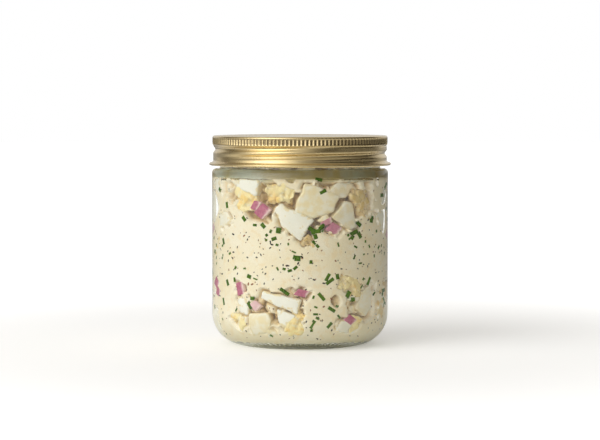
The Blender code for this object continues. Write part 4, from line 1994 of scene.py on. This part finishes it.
def grain_pattern() -> bpy.types.Mesh:
    """An angular grain of cracked pepper, one unit wide and tall.

    Returns:
        The pattern's mesh.
    """
    bpy.ops.object.select_all(action="DESELECT")
    bpy.ops.mesh.primitive_ico_sphere_add(subdivisions=1, radius=0.5)
    grain = bpy.context.object
    with editing(grain):
        bpy.ops.transform.resize(value=(1.0, 0.6, 0.85), center_override=(0.0, 0.0, 0.0))
        bpy.ops.transform.vertex_random(offset=0.12, seed=3)
    mesh = grain.data
    bpy.data.objects.remove(grain, do_unlink=True)
    return mesh


@dataclass
class EggSalad:
    """The salad: dressing with everything that presses to the glass through it.

    Attributes:
        jar: The jar that it fills.
        top: The height of its top.
        effects: The node groups that the finishes share.
        seed: The seed of all that is drawn.
        hidden_dice: How many coated dice lie in the dressing's hollows.
        long_chives: How many longer chives are scattered outside the front.
        short_chives: How many short ones are scattered all round.
        grains: How many grains of pepper are scattered.
    """

    jar: GlassJar
    top: float
    effects: Effects
    seed: int = 5
    hidden_dice: int = 110
    long_chives: int = 105
    short_chives: int = 150
    grains: int = 900

    def outlined(self, spots: Sequence[Spot], draw: random.Random) -> list[tuple[Spot, Corners]]:
        """Gives each spot its outline, drawn where the spot has none.

        Args:
            spots: The places.
            draw: The source of drawn numbers.

        Returns:
            Each spot with its outline.
        """
        return [(spot, spot.corners or DicedPieces.drawn_corners(spot, draw)) for spot in spots]

    @staticmethod
    def squared(spots: Sequence[Spot]) -> list[tuple[Spot, Corners]]:
        """Gives each spot a slanted four-sided outline of its own size."""
        made = []
        for spot in spots:
            right, up = spot.width / 2, spot.tall / 2
            slant = right * 0.18
            corners = ((-right - slant, -up), (right - slant, -up), (right + slant, up), (slant - right, up))
            made.append((spot, corners))
        return made

    def build(self) -> None:
        """Builds and dresses every piece of the salad."""
        draw = random.Random(self.seed)
        crowd = Crowd(self.jar, draw)
        for spot in (*FRONT_WHITES, *FRONT_YOLKS, *FRONT_ONIONS):
            crowd.keep(spot)
        more_whites = crowd.place(count=30, width=(8, 20), tall=(8, 15))
        whites = self.outlined([*FRONT_WHITES, *more_whites], draw)
        yolks = [*FRONT_YOLKS, *crowd.place(count=19, width=(8, 16), tall=(8, 12))]
        more_onions = crowd.place(count=22, width=(4.2, 6.5), tall=(3.6, 5.5))
        onions = self.squared([*FRONT_ONIONS, *more_onions])
        chunks = [*whites, *onions]
        lumps = self.outlined(self.coated_lumps(crowd, draw), draw)
        dressing = Dressing(self.jar, self.top, chunks, yolks, FRONT_PATCHES)
        cream = DressingFinish("dressing", (0.87, 0.77, 0.55), 0.45).build(self.effects)
        dress(dressing.build(), cream, "egg_salad", "egg_salad")
        white_dice = DicedPieces("egg_white", self.jar, Reach.WHITE, 7.5 * MM, 0.9 * MM, 1.25 * MM)
        firm = WhiteFinish("egg_white", (0.90, 0.87, 0.76), 0.4).build(self.effects)
        dress(white_dice.build([*whites, *lumps]), firm, "egg_white", "egg_salad")
        crumbly = YolkFinish("egg_yolk", (0.99, 0.85, 0.46), 0.7).build(self.effects)
        dress(YolkLumps(self.jar).build(yolks), crumbly, "egg_yolk", "egg_salad")
        onion_dice = OnionDice("red_onion", self.jar, Reach.ONION, 2.6 * MM, 0.3 * MM, 1.0 * MM)
        purple = OnionFinish("red_onion", (0.52, 0.17, 0.24), 0.35).build(self.effects)
        dress(onion_dice.build(onions), purple, "red_onion", "egg_salad")
        self.sprinkle_chives(dressing, draw)
        self.sprinkle_pepper(dressing, draw)

    def coated_lumps(self, crowd: Crowd, draw: random.Random) -> list[Spot]:
        """Places the dressing-coated dice that show only in the dressing's hollows.

        Args:
            crowd: The places that are taken.
            draw: The source of drawn numbers.

        Returns:
            The dice's places.
        """
        found: list[Spot] = []
        for _ in range(4000):
            if len(found) == self.hidden_dice:
                break
            azimuth, size = draw.uniform(0, 360), draw.uniform(3.6, 7.0)
            height = draw.choice((draw.uniform(58, 92), draw.uniform(58, 92), draw.uniform(10, 34)))
            if not crowd.free(azimuth, height, size * 0.36):
                continue
            tall, turn = size * draw.uniform(0.7, 1.1), draw.uniform(-50, 50)
            coat, back = draw.uniform(0.6, 1.0), draw.uniform(1.2, 2.8)
            spot = Spot(azimuth, height, size, tall, turn, draw.uniform(-28, 28), coat, back)
            crowd.keep(Spot(azimuth, height, size * 0.7, size * 0.7))
            found.append(spot)
        return found

    def depth_at(self, dressing: Dressing, spots: Sequence[Spot]) -> np.ndarray:
        """How deep the dressing lies at each spot."""
        azimuth = np.array([spot.azimuth for spot in spots])
        along = np.array([self.jar.along(spot.height * MM) for spot in spots])
        return dressing.depths(azimuth, along)

    def sprinkle_chives(self, dressing: Dressing, draw: random.Random) -> None:
        """Scatters the chives.

        Args:
            dressing: The dressing that they lie on.
            draw: The source of drawn numbers.
        """
        spots = []
        for _ in range(self.long_chives):
            azimuth = draw.uniform(FRONT_EDGE, 360.0 - FRONT_EDGE)
            width = 2.0 + 2.6 * draw.random() ** 2
            tall = draw.uniform(1.6, 2.3)
            spots.append(Spot(azimuth, draw.uniform(8, 84), width, tall, draw.uniform(-90, 90)))
        for _ in range(self.short_chives):
            width, tall = draw.uniform(1.1, 2.4), draw.uniform(0.7, 1.5)
            height = draw.choice((draw.uniform(8, 36), draw.uniform(36, 66), draw.uniform(40, 66)))
            spots.append(Spot(draw.uniform(0, 360), height, width, tall, draw.uniform(-90, 90)))
        pattern = chive_pattern()
        chives = Sprinkle("chives", self.jar, Reach.CHIVE)
        for spot in FRONT_CHIVES:
            chives.add(pattern, spot, 0.0, draw.random() ** 2)
        for spot, depth in zip(spots, self.depth_at(dressing, spots)):
            if depth < 1.5 * MM:
                chives.add(pattern, spot, depth * 0.6, draw.random() ** 2)
        green = ChiveFinish("chive", (0.038, 0.095, 0.004), 0.45).build(self.effects)
        dress(chives.build(), green, "chive", "egg_salad")

    def sprinkle_pepper(self, dressing: Dressing, draw: random.Random) -> None:
        """Scatters the cracked pepper.

        Args:
            dressing: The dressing that it lies on.
            draw: The source of drawn numbers.
        """
        spots = []
        for _ in range(self.grains):
            size = 0.62 + 0.8 * draw.random() ** 3
            width = size * draw.uniform(1.0, 1.8)
            spots.append(
                Spot(draw.uniform(0, 360), draw.uniform(7, 80), width, size, draw.uniform(-90, 90))
            )
        pattern = grain_pattern()
        pepper = Sprinkle("black_pepper", self.jar, Reach.PEPPER)
        for spot, depth in zip(spots, self.depth_at(dressing, spots)):
            if depth < 1.2 * MM:
                tone = 1.0 if draw.random() < 0.35 else 0.0
                pepper.add(pattern, spot, depth, tone)
        black = PepperFinish("black_pepper", (0.022, 0.018, 0.014), 0.6).build(self.effects)
        dress(pepper.build(), black, "black_pepper", "egg_salad")


# The studio


@dataclass
class Studio:
    """A white floor, a large soft light from the left and the photograph's camera.

    Attributes:
        view: The photograph's camera.
        sensor: The width of the camera's sensor, in millimetres.
        window: The way to the window.
        daylight: The room's brightness, from the side away from the window to the window.
        dim_warmth: How much of each colour the room's dim side lacks.
        ceiling: The ceiling's colour.
        backdrop: The colour of the room behind the jar.
        warm: The colour of the light from the front.
        near_glow: How bright the floor looks near the jar.
        far_glow: How bright it looks far off.
        near_floor: How much light it throws back near the jar.
        far_floor: How much it throws back far off.
    """

    view: PhotoView = VIEW
    sensor: float = 36.0
    window: tuple[float, float, float] = (-0.69, -0.72, 0.0)
    daylight: tuple[tuple[float, float], ...] = (
        (0.02, 0.03), (0.38, 0.03), (0.56, 0.07), (0.72, 0.19), (0.85, 0.46), (0.94, 1.3), (0.99, 2.7))
    dim_warmth: Colour = (0.0, 0.18, 0.5)
    ceiling: Colour = (0.46, 0.45, 0.42)
    backdrop: Colour = (0.66, 0.64, 0.60)
    warm: Colour = (1.0, 0.86, 0.60)
    near_glow: float = 0.23
    far_glow: float = 1.0
    near_floor: float = 0.88
    far_floor: float = 0.4

    def camera(self) -> None:
        """Sets up the camera."""
        view = self.view
        lens = bpy.data.cameras.new("camera")
        lens.sensor_width = self.sensor
        lens.lens = self.sensor * view.focal_pixels / view.width
        eye = bpy.data.objects.new("camera", lens)
        bpy.context.scene.collection.objects.link(eye)
        down = math.atan((view.tall / 2 - view.horizon) / view.focal_pixels)
        eye.location = (0.0, -view.distance * MM, view.eye_height * MM)
        eye.rotation_euler = (math.pi / 2 - down, 0.0, 0.0)
        bpy.context.scene.camera = eye

    def light(
        self, name: str, azimuth: float, elevation: float, away: float, size: tuple[float, float],
        power: float, mirrored: bool = True, tint: Colour = (1.0, 1.0, 1.0),
    ) -> None:
        """Adds a soft light aimed at the jar's middle.

        Args:
            name: Its name.
            azimuth: Degrees round the jar.
            elevation: Degrees above the floor.
            away: Its distance.
            size: Its width and height.
            power: Its power, in watts.
            mirrored: Whether glossy surfaces mirror it.
            tint: Its colour.
        """
        lamp = bpy.data.lights.new(name, "AREA")
        lamp.shape = "RECTANGLE"
        lamp.size, lamp.size_y = size
        lamp.energy = power
        lamp.color = tint
        panel = bpy.data.objects.new(name, lamp)
        bpy.context.scene.collection.objects.link(panel)
        turn, rise = math.radians(azimuth), math.radians(elevation)
        way = Vector(
            (math.sin(turn) * math.cos(rise), -math.cos(turn) * math.cos(rise), math.sin(rise))
        )
        panel.location = way * away + Vector((0.0, 0.0, 0.05))
        panel.rotation_euler = way.to_track_quat("Z", "Y").to_euler()
        panel.visible_camera = False
        panel.visible_glossy = mirrored

    def floor(self) -> None:
        """Lays the white floor."""
        bpy.ops.object.select_all(action="DESELECT")
        bpy.ops.mesh.primitive_circle_add(vertices=64, radius=5.0, fill_type="NGON")
        ground = bpy.context.object
        ground.name = "floor"
        material = bpy.data.materials.new("floor")
        material.use_nodes = True
        sketch = Sketch(material.node_tree)
        shader = sketch.feed(sketch.node("BsdfPrincipled"), Roughness=0.9, Specular_IOR_Level=0.0)
        away = sketch.node("VectorMath", operation="LENGTH")
        sketch.tree.links.new(sketch.place(), away.inputs[0])
        sweep = sketch.node("MapRange", interpolation_type="SMOOTHSTEP")
        sketch.feed(sweep, Value=away.outputs["Value"], From_Min=0.12, From_Max=0.45)
        path = sketch.node("LightPath")
        seen = sketch.math("MAXIMUM", path.outputs["Is Camera Ray"], path.outputs["Is Transmission Ray"])
        glow = sketch.mix(sweep.outputs[0], (self.near_glow,) * 3, (self.far_glow,) * 3)
        pale = sketch.mix(sweep.outputs[0], (self.near_floor,) * 3, (self.far_floor,) * 3)
        sketch.feed(shader, Base_Color=pale, Emission_Color=glow, Emission_Strength=seen)
        output = sketch.node("OutputMaterial")
        sketch.tree.links.new(shader.outputs[0], output.inputs["Surface"])
        ground.data.materials.append(material)

    def surroundings(self) -> None:
        """Makes the white room: bright where it is seen, softer where it only lights."""
        world = bpy.data.worlds.new("white_room")
        bpy.context.scene.world = world
        world.use_nodes = True
        sketch = Sketch(world.node_tree)
        path = sketch.node("LightPath")
        seen = sketch.math("MAXIMUM", path.outputs["Is Camera Ray"], path.outputs["Is Transmission Ray"])
        way = sketch.node("TexCoord").outputs["Generated"]
        to_window = sketch.node("VectorMath", operation="DOT_PRODUCT")
        level = sketch.node("VectorMath", operation="MULTIPLY")
        level.inputs[1].default_value = (1.0, 1.0, 0.0)
        sketch.tree.links.new(way, level.inputs[0])
        heading = sketch.node("VectorMath", operation="NORMALIZE")
        sketch.tree.links.new(level.outputs[0], heading.inputs[0])
        to_window.inputs[1].default_value = self.window
        sketch.tree.links.new(heading.outputs[0], to_window.inputs[0])
        facing = sketch.feed(sketch.node("MapRange"), Value=to_window.outputs["Value"], From_Min=-1.0)
        round_room = sketch.feed(sketch.node("ValToRGB"), Fac=facing.outputs[0])
        stops = round_room.color_ramp.elements
        for place, brightness in self.daylight:
            stop = stops.new(place)
            tint = [1.0 - cut * (1.0 - place) for cut in self.dim_warmth]
            stop.color = (*(part * brightness for part in tint), 1.0)
        stops.remove(stops[0])
        stops.remove(stops[-1])
        parts = sketch.node("SeparateXYZ")
        sketch.tree.links.new(way, parts.inputs[0])
        above = sketch.node("MapRange", interpolation_type="SMOOTHSTEP")
        sketch.feed(above, Value=parts.outputs["Z"], From_Min=0.50, From_Max=0.95)
        behind = sketch.node("MapRange", interpolation_type="SMOOTHSTEP")
        sketch.feed(behind, Value=parts.outputs["Y"], From_Min=0.40, From_Max=0.80)
        backs = [sketch.node("Background"), sketch.feed(sketch.node("Background"), Color=(1.0,) * 4)]
        shade = sketch.mix(above.outputs[0], round_room.outputs["Color"], self.ceiling)
        shade = sketch.mix(behind.outputs[0], shade, self.backdrop)
        sketch.tree.links.new(shade, backs[0].inputs["Color"])
        blend = sketch.node("MixShader")
        sketch.tree.links.new(seen, blend.inputs[0])
        sketch.tree.links.new(backs[0].outputs[0], blend.inputs[1])
        sketch.tree.links.new(backs[1].outputs[0], blend.inputs[2])
        output = sketch.node("OutputWorld")
        sketch.tree.links.new(blend.outputs[0], output.inputs["Surface"])

    def build(self) -> None:
        """Sets up the whole studio."""
        self.camera()
        self.floor()
        self.surroundings()
        self.light(
            "key_light", azimuth=-62.0, elevation=40.0, away=1.5, size=(1.0, 1.0), power=5.4, mirrored=False
        )
        self.light(
            "front_fill", azimuth=30.0, elevation=15.0, away=1.6, size=(1.4, 1.0), power=2.6,
            mirrored=False, tint=self.warm,
        )
        self.light(
            "top_light", azimuth=160.0, elevation=70.0, away=1.6, size=(1.6, 1.2), power=3.0, mirrored=False
        )
        bpy.context.scene.view_settings.view_transform = "Standard"


def main() -> None:
    """Builds the jar, the lid, the salad and the studio, in that order."""
    logging.basicConfig(level=logging.INFO, format="%(name)s %(message)s")
    effects = Effects()
    low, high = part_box("jar")
    jar = GlassJar(body_radius=high[0], rim_top=high[2])
    clear = GlassFinish("clear_glass", (1.0, 1.0, 1.0), 0.0).build(effects)
    dress(jar.build(), clear, "clear_glass", "jar")
    low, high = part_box("lid")
    gold = GoldFinish("gold_metal", (0.80, 0.62, 0.29), 0.26).build(effects)
    dress(ScrewLid(top=high[2], reach=high[0]).build(), gold, "gold_metal", "lid")
    low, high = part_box("egg_salad")
    EggSalad(jar, high[2], effects).build()
    Studio().build()


if __name__ == "__main__":
    main()
